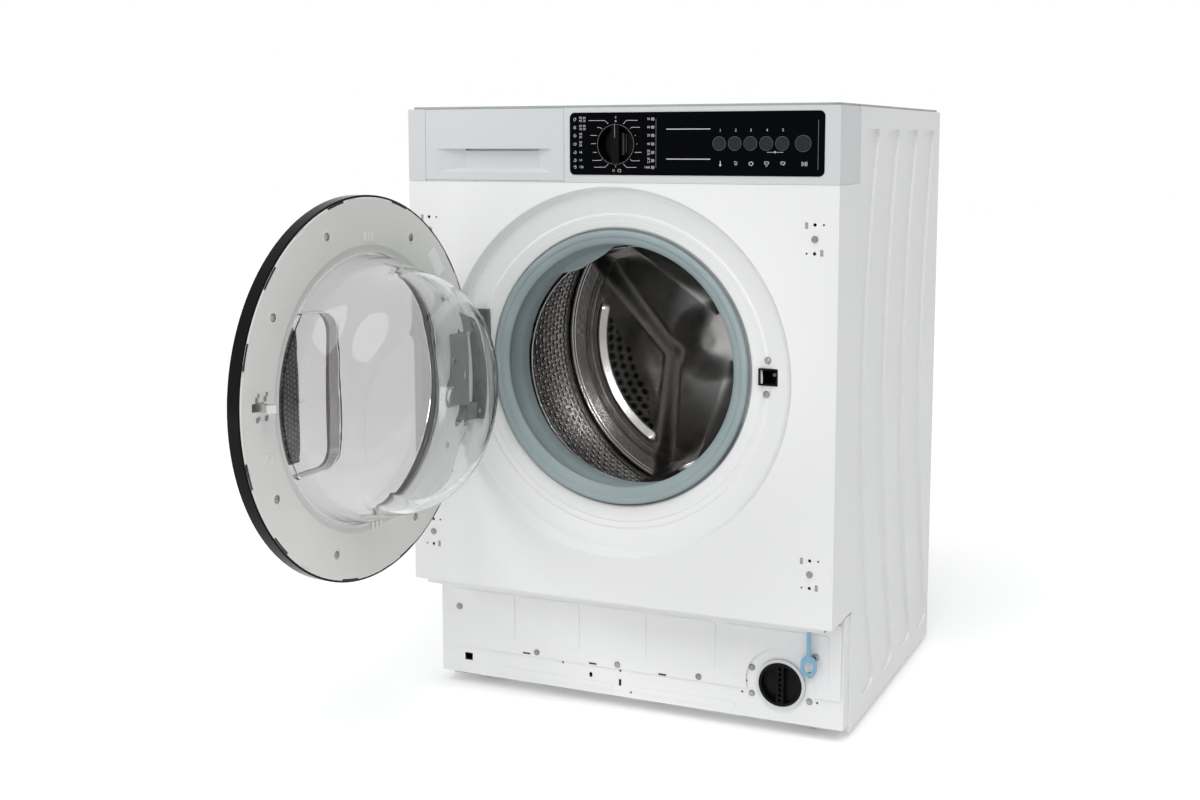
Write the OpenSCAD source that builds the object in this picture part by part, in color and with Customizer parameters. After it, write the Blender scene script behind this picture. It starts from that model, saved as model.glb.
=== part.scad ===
// Integrated washer dryer, door open. X runs to the right seen from the front, Y into the machine,
// Z up. The origin lies on the floor, below the middle of the front panel's outer face.

/* [Cabinet] */
// Width over the side panels
body_w = 597; // [590:1:604]
// Height of the machine, with its feet screwed right in
body_h = 820; // [816:1:830]
// Depth from the front panel's face to the rear panel's face
body_d = 545; // [540:1:570]
// Height of the panels' lower edge above the floor
foot_gap = 10; // [8:1:14]
// Thickness of the cabinet's sheet steel
sheet_t = 1; // [0.8:0.1:1.2]
// Depth of the front panel's and fascia's side returns
return_d = 92; // [88:1:94]
// Height of the front panel's lower edge above the floor
plinth_h = 172; // [168:1:174]
// How far the plinth lies behind the front panel's face
plinth_back = 68; // [66:1:70]
// Height of the control fascia
fascia_h = 95; // [94:0.5:97]
// Thickness of the top cover
cover_t = 3; // [2:0.5:4]
// Distance between the pressed channels of a side panel
channel_pitch = 108; // [100:1:110]
// Depth of the pressed channels
channel_depth = 4; // [2:0.5:5]
// Radius of a levelling foot's pad
foot_r = 20; // [16:1:24]

/* [Door opening] */
// Height of the drum's axis above the floor
axis_z = 475.3; // [473:0.1:477]
// Outer radius of the front panel's dish
dish_r = 242; // [241:0.5:246]
// Depth of the dish
dish_depth = 27; // [26:0.5:29]
// Radius of the hole in the front panel
opening_r = 179; // [178.5:0.1:179.5]
// Wall of the door seal
seal_t = 2.6; // [2:0.1:3]
// Radius of the door seal's inner lip
seal_lip_r = 156; // [154:0.5:158]

/* [Door] */
// Radius of the door
door_r = 235.5; // [234:0.5:236]
// Angle at which the door stands open
door_open = 93.5; // [85:0.5:110]
// Distance of the hinge axis from the drum's axis
hinge_x = 222.5; // [221:0.5:223]
// Distance of the hinge axis in front of the front panel's face
hinge_y = 4; // [3.5:0.5:5]
// Radius of the hinge pin
pin_r = 3.5; // [3:0.1:3.8]
// Radius of the glass bowl at its rim
bowl_r = 163; // [160:0.5:164]
// Depth of the glass bowl behind the door's inner face
bowl_depth = 124; // [100:1:130]
// Wall of the glass bowl
glass_t = 5; // [4:0.5:7]

/* [Drum and tub] */
// Outer radius of the drum
drum_r = 240; // [236:0.5:242]
// Length of the drum's shell
drum_len = 292; // [280:1:296]
// Radius of the drum's mouth
mouth_r = 168; // [166:0.5:170]
// Thickness of the drum's steel
drum_t = 1; // [0.6:0.1:1.2]
// Inner radius of the tub
tub_r = 257; // [256:0.5:259]
// Wall of the tub
tub_t = 5; // [4:0.5:6]
// Height of a drum lifter
lifter_h = 48; // [40:1:55]
// Radius of the drum's shaft
shaft_r = 15; // [12:0.5:17]
// Radius of the drum's belt pulley
pulley_r = 137; // [130:1:142]
// Radius of the motor's pulley
rotor_r = 11; // [9:0.5:13]
// Thickness of the drive belt
belt_t = 3; // [2:0.5:4]

/* [Controls] */
// Width of the drawer's front
drawer_w = 205; // [200:1:206]
// Length of the detergent tray behind its front
tray_len = 250; // [220:1:260]
// Radius of the programme knob
knob_r = 25.5; // [22:0.5:27]
// Radius of an option button
button_r = 8; // [7:0.1:8.3]
// Radius of the start button
start_r = 9.5; // [8.5:0.1:10]
// Distance between the option buttons
button_pitch = 20.2; // [19.8:0.1:20.4]
// Travel of a button
button_travel = 1.2; // [0.8:0.1:1.5]

/* [Plinth] */
// Radius of the pump filter's cap
cap_r = 29; // [26:0.5:30]
// Radius of the screw holes for the furniture door's hinge plates
hinge_hole_r = 2.1; // [1.8:0.1:2.4]
// Distance between the two screw holes of a hinge plate
hinge_hole_pitch = 35; // [32:0.5:36]

/* [Hidden] */
$fn = 64;
// Running clearance of shafts and pins, and the gap between pieces that move past each other
run = 0.05;
gap = 0.3;
eps = 0.01;
half_w = body_w / 2;
top_z = body_h - cover_t;
fascia_z = top_z - fascia_h;
// Hinge plate holes: distance of the column from the middle, and heights of the upper and lower plate
plate_x = half_w - 30;
plate_z = [240.8, 656.5];
// Door lock: place of its slot
lock_x = 206;
lock_z = 482;
lock_w = 26;
lock_h = 22;
// Drawer, glass, knob and buttons on the fascia
drawer_x = 26.5 - half_w;
glass_x = [drawer_x + drawer_w + 9, half_w - 19.5];
glass_z = [body_h - 88, body_h - 9.5];
knob_x = glass_x[0] + 64.3;
knob_z = body_h - 49.5;
start_x = glass_x[1] - 26.6;
buttons_x = start_x - 26.3 - 4 * button_pitch;
buttons_z = body_h - 48.6;
glass_plate_t = 2.2;
fascia_t = 3;
// Plinth: filter, and the emergency pull
filter_x = half_w - 86.1;
filter_z = 70.4;
pull_x = half_w - 46.7;
pull_y = 59;
// Drum and tub along the axis
drum_y = 90;
drum_back_y = drum_y + drum_len;
tub_y = 64;
tub_split_y = 232;
tub_back_y = drum_back_y + 32;
hub_r = 48;
hub_y = [tub_back_y - 16, tub_back_y + 42];
shaft_end_y = tub_back_y + 72;
pulley_y = tub_back_y + 50;
pulley_w = 16;
motor_x = 70;
motor_z = 128;
motor_r = 58;
// Dryer: fan on top of the tub
fan_x = 165;
fan_y = 330;
fan_z = axis_z + 266.7;
fan_r = 66;
fan_h = 40;
// Dispenser
tray_z = body_h - 67;
tray_h = 52;
// Suspension
spring_x = half_w - 17;
spring_y = [150, 350];
spring_z = [axis_z + 136.7, body_h - 38];
damper_x = 178;
damper_y = [150, 352];
damper_top = 262;
// Door, in the closed pose: its inner and outer faces
door_in = 9;
rim_in = 8;
rim_out = -8;
face_out = -16;
window_r = 168;
frame_r = 233;
hook_x = 203;

// Helpers

// Places a shape that stands along Z so that it points into the machine
module into(x = 0, y = 0, z = 0) {
    translate([x, y, z]) rotate([-90, 0, 0]) children();
}

// A box from its two corners
module box(lo, hi) {
    translate(lo) cube(hi - lo);
}

// A tube along Z
module tube(ro, ri, h) {
    difference() {
        cylinder(r = ro, h = h);
        translate([0, 0, -eps]) cylinder(r = ri, h = h + 2 * eps);
    }
}

// A profile of [radius, depth] points turned about the drum's axis
module turned(points, degrees = 360) {
    into(0, 0, axis_z) rotate_extrude(angle = degrees, $fn = 128) polygon(points);
}

// A rectangle with round corners, from its two corners
module soft_rect(lo, hi, r) {
    for (x = [lo[0] + r, hi[0] - r], y = [lo[1] + r, hi[1] - r]) translate([x, y]) circle(r = r, $fn = 24);
    translate([lo[0] + r, lo[1]]) square([hi[0] - lo[0] - 2 * r, hi[1] - lo[1]]);
    translate([lo[0], lo[1] + r]) square([hi[0] - lo[0], hi[1] - lo[1] - 2 * r]);
}

// Extrudes a shape drawn in X and Z from depth y0 to depth y1
module plate_xz(y0, y1) {
    translate([0, y1, 0]) rotate([90, 0, 0]) linear_extrude(y1 - y0) children();
}

// Extrudes a shape drawn in Y and Z from x0 to x1
module plate_yz(x0, x1) {
    translate([x0, 0, 0]) rotate([90, 0, 90]) linear_extrude(x1 - x0) children();
}

// Outline of a band of width w along a line of points
function unit(v) = v / norm(v);
function band_side(p, i) = let (
    a = unit(i == 0 ? p[1] - p[0] : p[i] - p[i - 1]),
    b = unit(i == len(p) - 1 ? p[i] - p[i - 1] : p[i + 1] - p[i]),
    m = unit(a + b)
) [-m[1], m[0]] / (m * a);
function band(p, w) = concat(
    [for (i = [0:len(p) - 1]) p[i] + band_side(p, i) * w / 2],
    [for (i = [len(p) - 1:-1:0]) p[i] - band_side(p, i) * w / 2]
);

// Turns a piece of the closed door to the pose it is shown in
module door_pose() {
    translate([-hinge_x, -hinge_y, 0]) rotate([0, 0, -door_open]) translate([hinge_x, hinge_y, 0]) children();
}

// Surface of the front panel's dish as [radius, depth], from its rim to the hole
dish = [
    [dish_r, 0], [dish_r - 1.2, 1.2], [dish_r - 3.2, 6], [dish_r - 5.4, 10.4], [dish_r - 9, 12.8],
    [dish_r - 15, 14.2], [opening_r + 29, dish_depth - 7.4], [opening_r + 26, dish_depth - 8.4],
    [opening_r + 22, dish_depth - 7.6], [opening_r + 12, dish_depth - 4.5],
    [opening_r + 6, dish_depth - 2], [opening_r + 3, dish_depth]
];
dish_up = [for (i = [len(dish) - 1:-1:0]) dish[i]];
function dish_y(r) = lookup(r, dish);

// Everything behind the dish's surface, moved towards the viewer by d
module behind_dish(d) {
    turned(concat(
        [for (p = dish_up) [p[0], p[1] - d]],
        [[dish_r + 40, -d], [dish_r + 40, 90], [opening_r + 3, 90]]
    ));
}

// Screws: a pan head with its shank, standing on depth y at [x, z]
screw_head_r = 4.3;
screw_head_h = 2.4;
screw_shank_r = 1.6;
screw_len = 7;
module pan_screw() {
    rotate_extrude($fn = 24) polygon([
        [0, -screw_head_h], [1.8, -screw_head_h], [3.4, -screw_head_h * 0.75], [screw_head_r, -0.6],
        [screw_head_r, 0], [screw_shank_r, 0], [screw_shank_r, screw_len], [0, screw_len]
    ]);
}
module front_screw(p) {
    into(p[0], p[1], p[2]) pan_screw();
}
module rear_screw(p) {
    translate(p) rotate([90, 0, 0]) pan_screw();
}
module screw_hole(p) {
    into(p[0], p[1] - 20, p[2]) cylinder(r = screw_shank_r + gap, h = 40, $fn = 24);
}
kick_y = plinth_back - 2;
plate_screws = [for (x = [-plate_x, plate_x], z = plate_z) [x, 0, z]];
kick_screws = [for (p = [[32.5 - half_w, 116.3], [-143.8, 64.7], [-20.6, 64.2], [97.9, 64.3],
    [half_w - 39.2, 113.7]])
    [p[0], kick_y, p[1]]];
filter_screws = [for (x = [-40, 38.5], z = [-18.5, 16.9]) [filter_x + x, plinth_back, filter_z + z]];
lock_screws = [for (p = [[-1, 21.2], [-2, -21.6]])
    [lock_x + p[0], dish_y(norm([lock_x + p[0], lock_z + p[1] - axis_z])) - 1, lock_z + p[1]]];
bracket_front = 12.5;
bracket_screws = [for (z = [538.5, 412]) [-197.5, bracket_front, z]];
rear_y = body_d - 2;
cover_x = 165;
cover_z = [70, body_h - 170];
cover_screws = [for (x = [-1, 1] * (cover_x - 8), z = [0:3])
    [x, body_d - 1, cover_z[0] + 9 + (cover_z[1] - cover_z[0] - 18) * z / 3]];
rear_screws = [for (x = [-1, 1] * (half_w - 9), z = [0:3])
    [x, rear_y, foot_gap + 25 + z * (body_h - 70) / 3]];

// Cabinet

// Rear edge of a pressed channel at height z, and the channel's outline
channel_w = 68;
channel_bow = 4.6e-4;
channel_top = body_h - 30;
channel_step = (channel_top - 70) / 12;
function channel_y(i, z) = 136 + i * channel_pitch + channel_bow * pow(z - 450, 2);
function channel_line(i, z) = max(channel_y(i, z) - channel_w, return_d + 11);
module channel(i, grow) {
    polygon(concat(
        [for (k = [0:12]) let (z = channel_top - 10 - channel_step * k) [channel_y(i, z) + grow, z]],
        [[channel_y(i, 46) - 3 + grow, 46 - grow], [channel_y(i, 40) - 16, 38 - grow],
         [channel_y(i, 36) - 50, 35 - grow]],
        [for (k = [0:12]) let (z = 56 + channel_step * k) [channel_line(i, z) - grow, z]],
        [[channel_line(i, channel_top - 6) + 8, channel_top + grow],
         [channel_y(i, channel_top) - 5, channel_top + grow]]
    ));
}

module side_panel() {
    y0 = return_d + 0.5;
    y1 = rear_y - sheet_t;
    difference() {
        union() {
            box([half_w - sheet_t, y0, foot_gap], [half_w, y1, top_z]);
            plate_yz(half_w - channel_depth - sheet_t, half_w - sheet_t + eps) for (i = [0:3]) channel(i, sheet_t);
            box([half_w - 12, y0, foot_gap], [half_w - eps, y0 + sheet_t, top_z]);
            box([half_w - 18, y1 - sheet_t, foot_gap], [half_w - eps, y1, top_z]);
            box([half_w - 16, y0, foot_gap], [half_w - eps, y1, foot_gap + sheet_t]);
            box([half_w - 12, y0, top_z - sheet_t], [half_w - eps, y1, top_z]);
        }
        plate_yz(half_w - channel_depth, half_w + 1) for (i = [0:3]) channel(i, 0);
        for (p = rear_screws) if (p[0] > 0) screw_hole(p);
    }
}

module side_panel_left() {
    color("gainsboro") mirror([1, 0, 0]) side_panel();
}

module side_panel_right() {
    color("gainsboro") side_panel();
}

// Places of the fittings on the rear panel as [x, z]
valve_at = [63.5 - half_w, body_h - 58];
drain_at = [half_w - 63.5, body_h - 120];
gland_at = [half_w - 108.5, body_h - 58];
transit_at = [for (x = [-215, 215], z = [300, 600]) [x, z]];

module rear_panel() {
    color("silver") difference() {
        box([-half_w, rear_y - sheet_t, foot_gap], [half_w, rear_y, top_z]);
        plate_xz(rear_y - 3, rear_y + 1) soft_rect([-cover_x + 16, cover_z[0] + 16], [cover_x - 16, cover_z[1] - 16], 40);
        into(valve_at[0], rear_y - 5, valve_at[1]) cylinder(r = valve_r + 3, h = 10);
        into(drain_at[0], rear_y - 5, drain_at[1]) cylinder(r = spigot_r + 3, h = 10);
        into(gland_at[0], rear_y - 5, gland_at[1]) cylinder(r = gland_r + gap, h = 10);
        for (p = transit_at) into(p[0], rear_y - 5, p[1]) cylinder(r = 14, h = 10);
        for (p = concat(rear_screws, cover_screws)) screw_hole(p);
    }
}

module rear_service_cover() {
    color("silver") difference() {
        union() {
            plate_xz(rear_y, rear_y + sheet_t) soft_rect([-cover_x, cover_z[0]], [cover_x, cover_z[1]], 45);
            plate_xz(rear_y, rear_y + 2) soft_rect([-cover_x + 32, cover_z[0] + 32], [cover_x - 32, cover_z[1] - 32], 30);
        }
        for (p = cover_screws) screw_hole(p);
    }
}

module top_cover() {
    x = half_w - 2;
    color("slategray") difference() {
        translate([0, 0, top_z]) linear_extrude(cover_t) soft_rect([-x, 2.5], [x, rear_y - 1], 14);
        for (s = [-1, 1]) box([s * x - 6, return_d - 10, top_z - 1], [s * x + 6, return_d + 2, body_h + 1]);
    }
}

rail_x = [half_w - 25, half_w - 7];
frame_z = body_h - 30;
frame_y = [return_d + 6, return_d + 20];
module top_frame() {
    color("silver") {
        for (s = [0, 1]) mirror([s, 0, 0]) {
            box([rail_x[0], frame_y[0], frame_z], [rail_x[1], rear_y - 8, frame_z + 3]);
            box([rail_x[0], frame_y[0], frame_z], [rail_x[1], frame_y[1], top_z - sheet_t - gap]);
        }
        box([-rail_x[1], frame_y[0], tray_box_top + gap], [rail_x[1], frame_y[1], top_z - sheet_t - gap]);
        box([-rail_x[1], rear_y - 28, frame_z], [rail_x[1], rear_y - 8, top_z - sheet_t - gap]);
    }
}

// Small marks of a hinge plate group about its screw, as [x, z] of the slots and of the round holes
module hinge_plate_holes(x, z) {
    h = hinge_hole_pitch / 2;
    for (s = [-1, 1]) into(x, -2, z + s * h) cylinder(r = hinge_hole_r, h = 6, $fn = 32);
    for (p = [[11, h], [-10, -h]]) into(x + p[0], -2, z + p[1]) cylinder(r = 1.3, h = 6, $fn = 24);
    for (p = [[-10.5, h - 1], [9, -h + 1]]) box([x + p[0] - 2, -2, z + p[1] - 4], [x + p[0] + 2, 4, z + p[1] + 4]);
}

lip_z = plinth_h - 8;
lip_x = half_w - 13;
module front_panel() {
    t = sheet_t;
    color("white") difference() {
        union() {
            difference() {
                box([-half_w, 0, plinth_h], [half_w, t, fascia_z - gap]);
                into(0, -1, axis_z) cylinder(r = dish_r, h = 3, $fn = 128);
            }
            turned(concat(
                [for (p = dish) [p[0], p[1]]],
                [[opening_r, dish_depth], [opening_r, dish_depth + 6], [opening_r + t, dish_depth + 6],
                 [opening_r + t, dish_depth + t]],
                [for (p = dish_up) [p[0] + 0.8 * t, p[1] + t]]
            ));
            for (s = [0, 1]) mirror([s, 0, 0]) {
                box([half_w - t, 0, plinth_h], [half_w, return_d, fascia_z - gap]);
                box([half_w - 12, return_d - t, plinth_h], [half_w, return_d, fascia_z - gap]);
            }
            box([-half_w, 0, plinth_h], [half_w, 12, plinth_h + t]);
            box([-lip_x, 12 - t, lip_z], [lip_x, 12, plinth_h + t]);
            box([-lip_x, 12 - t, lip_z], [lip_x, kick_y - gap, lip_z + t]);
        }
        for (x = [-plate_x, plate_x], z = plate_z) hinge_plate_holes(x, z);
        box([lock_x - lock_w / 2, 0, lock_z - lock_h / 2], [lock_x + lock_w / 2, 40, lock_z + lock_h / 2]);
        box([pull_x - strap_w / 2 - gap, pull_y - strap_t / 2 - gap, lip_z - 2],
            [pull_x + strap_w / 2 + gap, pull_y + strap_t / 2 + gap, lip_z + 3]);
        for (p = concat(plate_screws, lock_screws, bracket_screws)) screw_hole(p);
    }
}

rail_holes = [
    [-259.5, 38, -247.2, 48.8], [-166, 58.6, -153.3, 60.6], [-63.6, 57.6, -51.4, 59.6],
    [39.3, 56.8, 52.4, 58.8], [-63.6, 40.4, -59, 46.9], [-19.2, 34, -15.5, 43.4]
];
rail_dots = [[-104, 55.5], [-17, 55.3], [-1, 27], [159, 52], [164.5, 68], [261.5, 51.5]];
rail_z = [19, 168];
rail_half = half_w - 2.5;
filter_hole_r = cap_r + 4.6;
module base_rail() {
    y = plinth_back;
    t = sheet_t;
    color("whitesmoke") difference() {
        union() {
            box([-rail_half, y, rail_z[0]], [rail_half, y + t, rail_z[1]]);
            for (s = [0, 1]) mirror([s, 0, 0]) box([rail_half - t, y, rail_z[0]], [rail_half, return_d, rail_z[1]]);
            box([-rail_half, y, rail_z[0]], [rail_half, y + 14, rail_z[0] + t]);
            box([-rail_half, y, rail_z[1] - t], [rail_half, return_d - 4, rail_z[1]]);
            for (x = [[-228, -28], [12, 150]])
                plate_xz(y - 1, y + eps) soft_rect([x[0], 27], [x[1], 36], 4);
        }
        for (h = rail_holes) box([h[0], y - 3, h[1]], [h[2], y + 3, h[3]]);
        for (p = rail_dots) into(p[0], y - 3, p[1]) cylinder(r = 1.6, h = 6, $fn = 24);
        into(filter_x, y - 3, filter_z) cylinder(r = filter_hole_r, h = 8);
        for (p = concat(kick_screws, filter_screws)) screw_hole(p);
    }
}

kick_x = [7.5 - half_w, half_w - 5.5];
kick_z = [58, 159];
kick_fields = [[kick_x[0] + 7, -178], [-170, -78], [-70, 22], [30, 121], [131, kick_x[1] - 16]];
arch_r = 48;
module kick_plate() {
    y = kick_y;
    color("whitesmoke") difference() {
        union() {
            box([kick_x[0], y, kick_z[0]], [kick_x[1], y + sheet_t, kick_z[1]]);
            for (f = kick_fields) plate_xz(y - 0.8, y + eps) soft_rect([f[0], 76], [f[1], 143], 5);
        }
        into(filter_x, y - 3, filter_z) cylinder(r = arch_r, h = 6, $fn = 96);
        box([filter_x - 5, y - 2, kick_z[0] - 2], [filter_x + 5, y + 3, filter_z]);
        for (p = kick_screws) {
            into(p[0], y - 2, p[2]) cylinder(r = 6, h = 2, $fn = 32);
            screw_hole(p);
        }
    }
}

foot_at = [for (x = [-1, 1] * (half_w - 53.5), y = [return_d + 36, rear_y - 43]) [x, y]];
stem_r = 5;
tray_floor = foot_gap + sheet_t;
tray_t = 3;
module base_tray() {
    x = half_w - 2;
    y = [plinth_back + 16, rear_y - 5];
    color("dimgray") difference() {
        union() {
            box([-x, return_d + 3, tray_floor], [x, y[1], tray_floor + tray_t]);
            box([-x + 10, y[0], tray_floor], [x - 10, y[1], tray_floor + tray_t]);
            for (s = [0, 1]) mirror([s, 0, 0]) box([x - 6, return_d + 3, tray_floor], [x - 3, y[1] - 8, 40]);
            box([-x + 10, y[0], tray_floor], [x - 10, y[0] + 3, 34]);
            box([-x, y[1] - 3, tray_floor], [x, y[1], 28]);
            for (p = foot_at) translate([p[0], p[1], tray_floor]) cylinder(r = 14, h = 26);
        }
        for (p = foot_at) translate([p[0], p[1], 0]) cylinder(r = stem_r + run, h = 60);
    }
}

module levelling_feet() {
    color("black") for (p = foot_at) translate([p[0], p[1], 0]) {
        rotate_extrude() polygon([
            [0, 0], [foot_r - 2, 0], [foot_r, 1.5], [foot_r, 4], [foot_r - 5, 5.5], [stem_r, 6], [stem_r, 44], [0, 44]
        ]);
        translate([0, 0, 6.2]) difference() {
            cylinder(r = 9, h = foot_gap - 5.4 - gap, $fn = 6);
            translate([0, 0, -1]) cylinder(r = stem_r + run, h = 12);
        }
    }
}

// Controls

drawer_hole = [drawer_x - 0.5, drawer_x + drawer_w + 0.5];
button_xs = [for (i = [0:4]) buttons_x + i * button_pitch];
post_at = [for (x = [glass_x[0] + 14, glass_x[1] - 10], z = [glass_z[0] + 7, glass_z[1] - 7]) [x, z]];
board_y = 9.5;
knob_shaft_r = 3;
board_t = 14;
module control_holes(y0, y1) {
    for (x = button_xs) into(x, y0, buttons_z) cylinder(r = button_r + gap, h = y1 - y0, $fn = 48);
    into(start_x, y0, buttons_z) cylinder(r = start_r + gap, h = y1 - y0, $fn = 48);
    into(knob_x, y0, knob_z) cylinder(r = knob_r + gap, h = y1 - y0, $fn = 96);
}

module control_fascia() {
    side_t = 2.5;
    color("white") difference() {
        union() {
            box([-half_w, 0, fascia_z], [half_w, fascia_t, top_z]);
            for (s = [0, 1]) mirror([s, 0, 0])
                box([half_w - side_t, 0, fascia_z], [half_w, return_d, top_z]);
            box([-half_w, 0, top_z - side_t], [half_w, 22, top_z]);
            for (p = post_at) into(p[0], 0, p[1]) cylinder(r = 4, h = board_y - gap, $fn = 32);
        }
        box([drawer_hole[0], -1, fascia_z - 1], [drawer_hole[1], front_t + gap, top_z + 1]);
        plate_xz(-1, 1.5) soft_rect([glass_x[0] - gap, glass_z[0] - gap], [glass_x[1] + gap, glass_z[1] + gap], 7);
        control_holes(-1, 5);
        box([half_w - 8, return_d - 12, top_z - 4], [half_w + 1, return_d + 1, top_z + 1]);
        mirror([1, 0, 0]) box([half_w - 8, return_d - 12, top_z - 4], [half_w + 1, return_d + 1, top_z + 1]);
    }
}

module control_glass() {
    color("black") difference() {
        plate_xz(1.5 - glass_plate_t, 1.5) soft_rect([glass_x[0], glass_z[0]], [glass_x[1], glass_z[1]], 6.7);
        control_holes(-3, 3);
    }
}

module control_board() {
    color("darkgreen") difference() {
        union() {
            difference() {
                box([glass_x[0] + 8, board_y, glass_z[0] + 2], [glass_x[1] - 4, board_y + board_t, glass_z[1] - 2]);
                into(knob_x, board_y - 1, knob_z) cylinder(r = knob_r + 1, h = board_t + 2, $fn = 96);
            }
            box([knob_x - knob_r - 6, board_y + board_t - 3, knob_z - 7], [knob_x + knob_r + 6, board_y + board_t + 3, knob_z + 7]);
        }
        into(knob_x, board_y, knob_z) cylinder(r = knob_shaft_r + run, h = board_t + 4, $fn = 32);
    }
}

// A button: its cap, the stem behind it, and the flange that keeps it in the fascia
module button(x, r) {
    color("dimgray") into(x, 0, buttons_z) rotate_extrude($fn = 48) polygon([
        [0, -1.6], [r - 1.4, -1.6], [r - 0.5, -2], [r, -1.5], [r, fascia_t + 0.2], [r + 1.2, fascia_t + 0.2],
        [r + 1.2, fascia_t + 1.2], [3, fascia_t + 1.2], [3, board_y - button_travel - gap],
        [0, board_y - button_travel - gap]
    ]);
}
module option_button_1() button(button_xs[0], button_r);
module option_button_2() button(button_xs[1], button_r);
module option_button_3() button(button_xs[2], button_r);
module option_button_4() button(button_xs[3], button_r);
module option_button_5() button(button_xs[4], button_r);
module start_button() button(start_x, start_r);

// Programme knob: a cup sunk in the panel with an upright grip bar across it, and its shaft
knob_cup = 13;
knob_floor_r = knob_r - 5;
knob_lip = 1.2;
grip_bar = [10.5, 13.5];
grip_front = 3;
module program_knob() {
    color("black") {
        difference() {
            into(knob_x, -knob_lip, knob_z) rotate_extrude($fn = 96) polygon([
                [0, 0], [knob_r - 0.8, 0], [knob_r, 0.8], [knob_r, knob_cup + 2],
                [knob_shaft_r, knob_cup + 2], [knob_shaft_r, board_y + board_t + knob_lip + 2], [0, board_y + board_t + knob_lip + 2]
            ]);
            into(knob_x, -knob_lip - eps, knob_z) cylinder(r1 = knob_r - 1.7, r2 = knob_floor_r, h = knob_cup, $fn = 96);
        }
        intersection() {
            into(knob_x, -grip_front, knob_z) cylinder(r = knob_r - 1, h = knob_cup + grip_front, $fn = 96);
            linear_extrude(top_z) polygon([
                [knob_x - grip_bar[0] / 2, -grip_front], [knob_x + grip_bar[0] / 2, -grip_front],
                [knob_x + grip_bar[1] / 2, knob_cup], [knob_x - grip_bar[1] / 2, knob_cup]
            ]);
        }
    }
}

// Detergent drawer

drawer_z = [fascia_z + 2, top_z - gap];
front_t = 13;
grip_x = [drawer_x + 16.5, drawer_x + drawer_w - 17];
grip_z = [body_h - 85.5, body_h - 55];
grip_depth = 8;
grip_floor_x = [drawer_x + 57, drawer_x + 165];
module drawer_front() {
    d = grip_depth;
    color("white") difference() {
        box([drawer_x, 0, drawer_z[0]], [drawer_x + drawer_w, front_t, drawer_z[1]]);
        intersection() {
            translate([0, 0, grip_z[0]]) linear_extrude(grip_z[1] - grip_z[0]) polygon([
                [grip_x[0], -1], [grip_x[0], 0], [grip_floor_x[0], d], [grip_floor_x[1], d], [grip_x[1], 0], [grip_x[1], -1]
            ]);
            plate_yz(grip_x[0] - 1, grip_x[1] + 1) polygon([
                [-1, grip_z[0]], [0, grip_z[0]], [d, grip_z[0] + 6], [d, grip_z[1]], [-1, grip_z[1]]
            ]);
        }
        box([grip_floor_x[0], d / 2, grip_z[1] - 2.6], [grip_floor_x[1], d + 3.5, grip_z[1] + 6]);
    }
}

tray_x = [drawer_x + 4, drawer_x + drawer_w - 4];
tray_wall = 2;
tray_split = [tray_x[0] + 62, tray_x[0] + 132];
tray_end = front_t + tray_len;
module drawer_tray() {
    x = tray_x;
    w = tray_wall;
    z1 = tray_z + tray_h;
    color("whitesmoke") difference() {
        box([x[0], front_t, tray_z], [x[1], tray_end, z1]);
        box([x[0] + w, front_t + w, tray_z + w], [tray_split[0] - w / 2, tray_end - w, z1 + 1]);
        box([tray_split[0] + w / 2, front_t + w, tray_z + w], [tray_split[1] - w / 2, tray_end - w, z1 + 1]);
        box([tray_split[1] + w / 2, front_t + w, tray_z + w], [x[1] - w, tray_end - w, z1 + 1]);
    }
}

tray_box_top = tray_z + tray_h + 5;
tray_box_x = [tray_x[0] - 3, tray_x[1] + 3];
tray_box_back = tray_end + 32;
module dispenser_housing() {
    w = 2;
    x = tray_box_x;
    z0 = tray_z - gap - w;
    color("whitesmoke") difference() {
        union() {
            box([x[0], fascia_t + 15, z0], [x[1], tray_box_back, tray_box_top]);
            translate([x[0] + 120, tray_box_back - 20, z0 - 12]) cylinder(r = 13, h = 14);
        }
        box([x[0] + w, fascia_t, z0 + w], [x[1] - w, tray_box_back - w, tray_box_top - w]);
        translate([x[0] + 120, tray_box_back - 20, z0 - 20]) cylinder(r = 11, h = 30);
    }
}

// Fittings on the rear panel

valve_r = 13.2;
spigot_r = 10;
gland_r = 9;
cord_r = 4.2;
fitting_back = 13;
module rear_fittings() {
    y = rear_y;
    color("gray") {
        into(valve_at[0], y - 45, valve_at[1]) difference() {
            union() {
                cylinder(r = valve_r, h = 45 + fitting_back);
                translate([0, 0, 12]) cylinder(r = valve_r + 5, h = 33 - sheet_t - gap);
                translate([-11, -20, 0]) cube([22, 40, 20]);
            }
            translate([0, 0, 20]) cylinder(r = valve_r - 3.5, h = 60);
        }
        into(drain_at[0], y - 30, drain_at[1]) difference() {
            union() {
                cylinder(r = spigot_r, h = 30 + fitting_back);
                cylinder(r = spigot_r + 7, h = 29);
            }
            translate([0, 0, -1]) cylinder(r = spigot_r - 2, h = 60);
        }
        into(gland_at[0], y - 12, gland_at[1]) difference() {
            union() {
                cylinder(r = gland_r, h = 12 + 10);
                translate([0, 0, 12]) cylinder(r = gland_r + 3, h = 3);
                cylinder(r = gland_r + 3, h = 10.7);
            }
            translate([0, 0, -1]) cylinder(r = cord_r, h = 40);
        }
        for (p = transit_at) into(p[0], y - 3.5, p[1]) {
            cylinder(r = 13.6, h = 3.5);
            translate([0, 0, 3.5]) cylinder(r = 18, h = 2);
        }
    }
}

// Door lock and hinge on the cabinet

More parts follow.
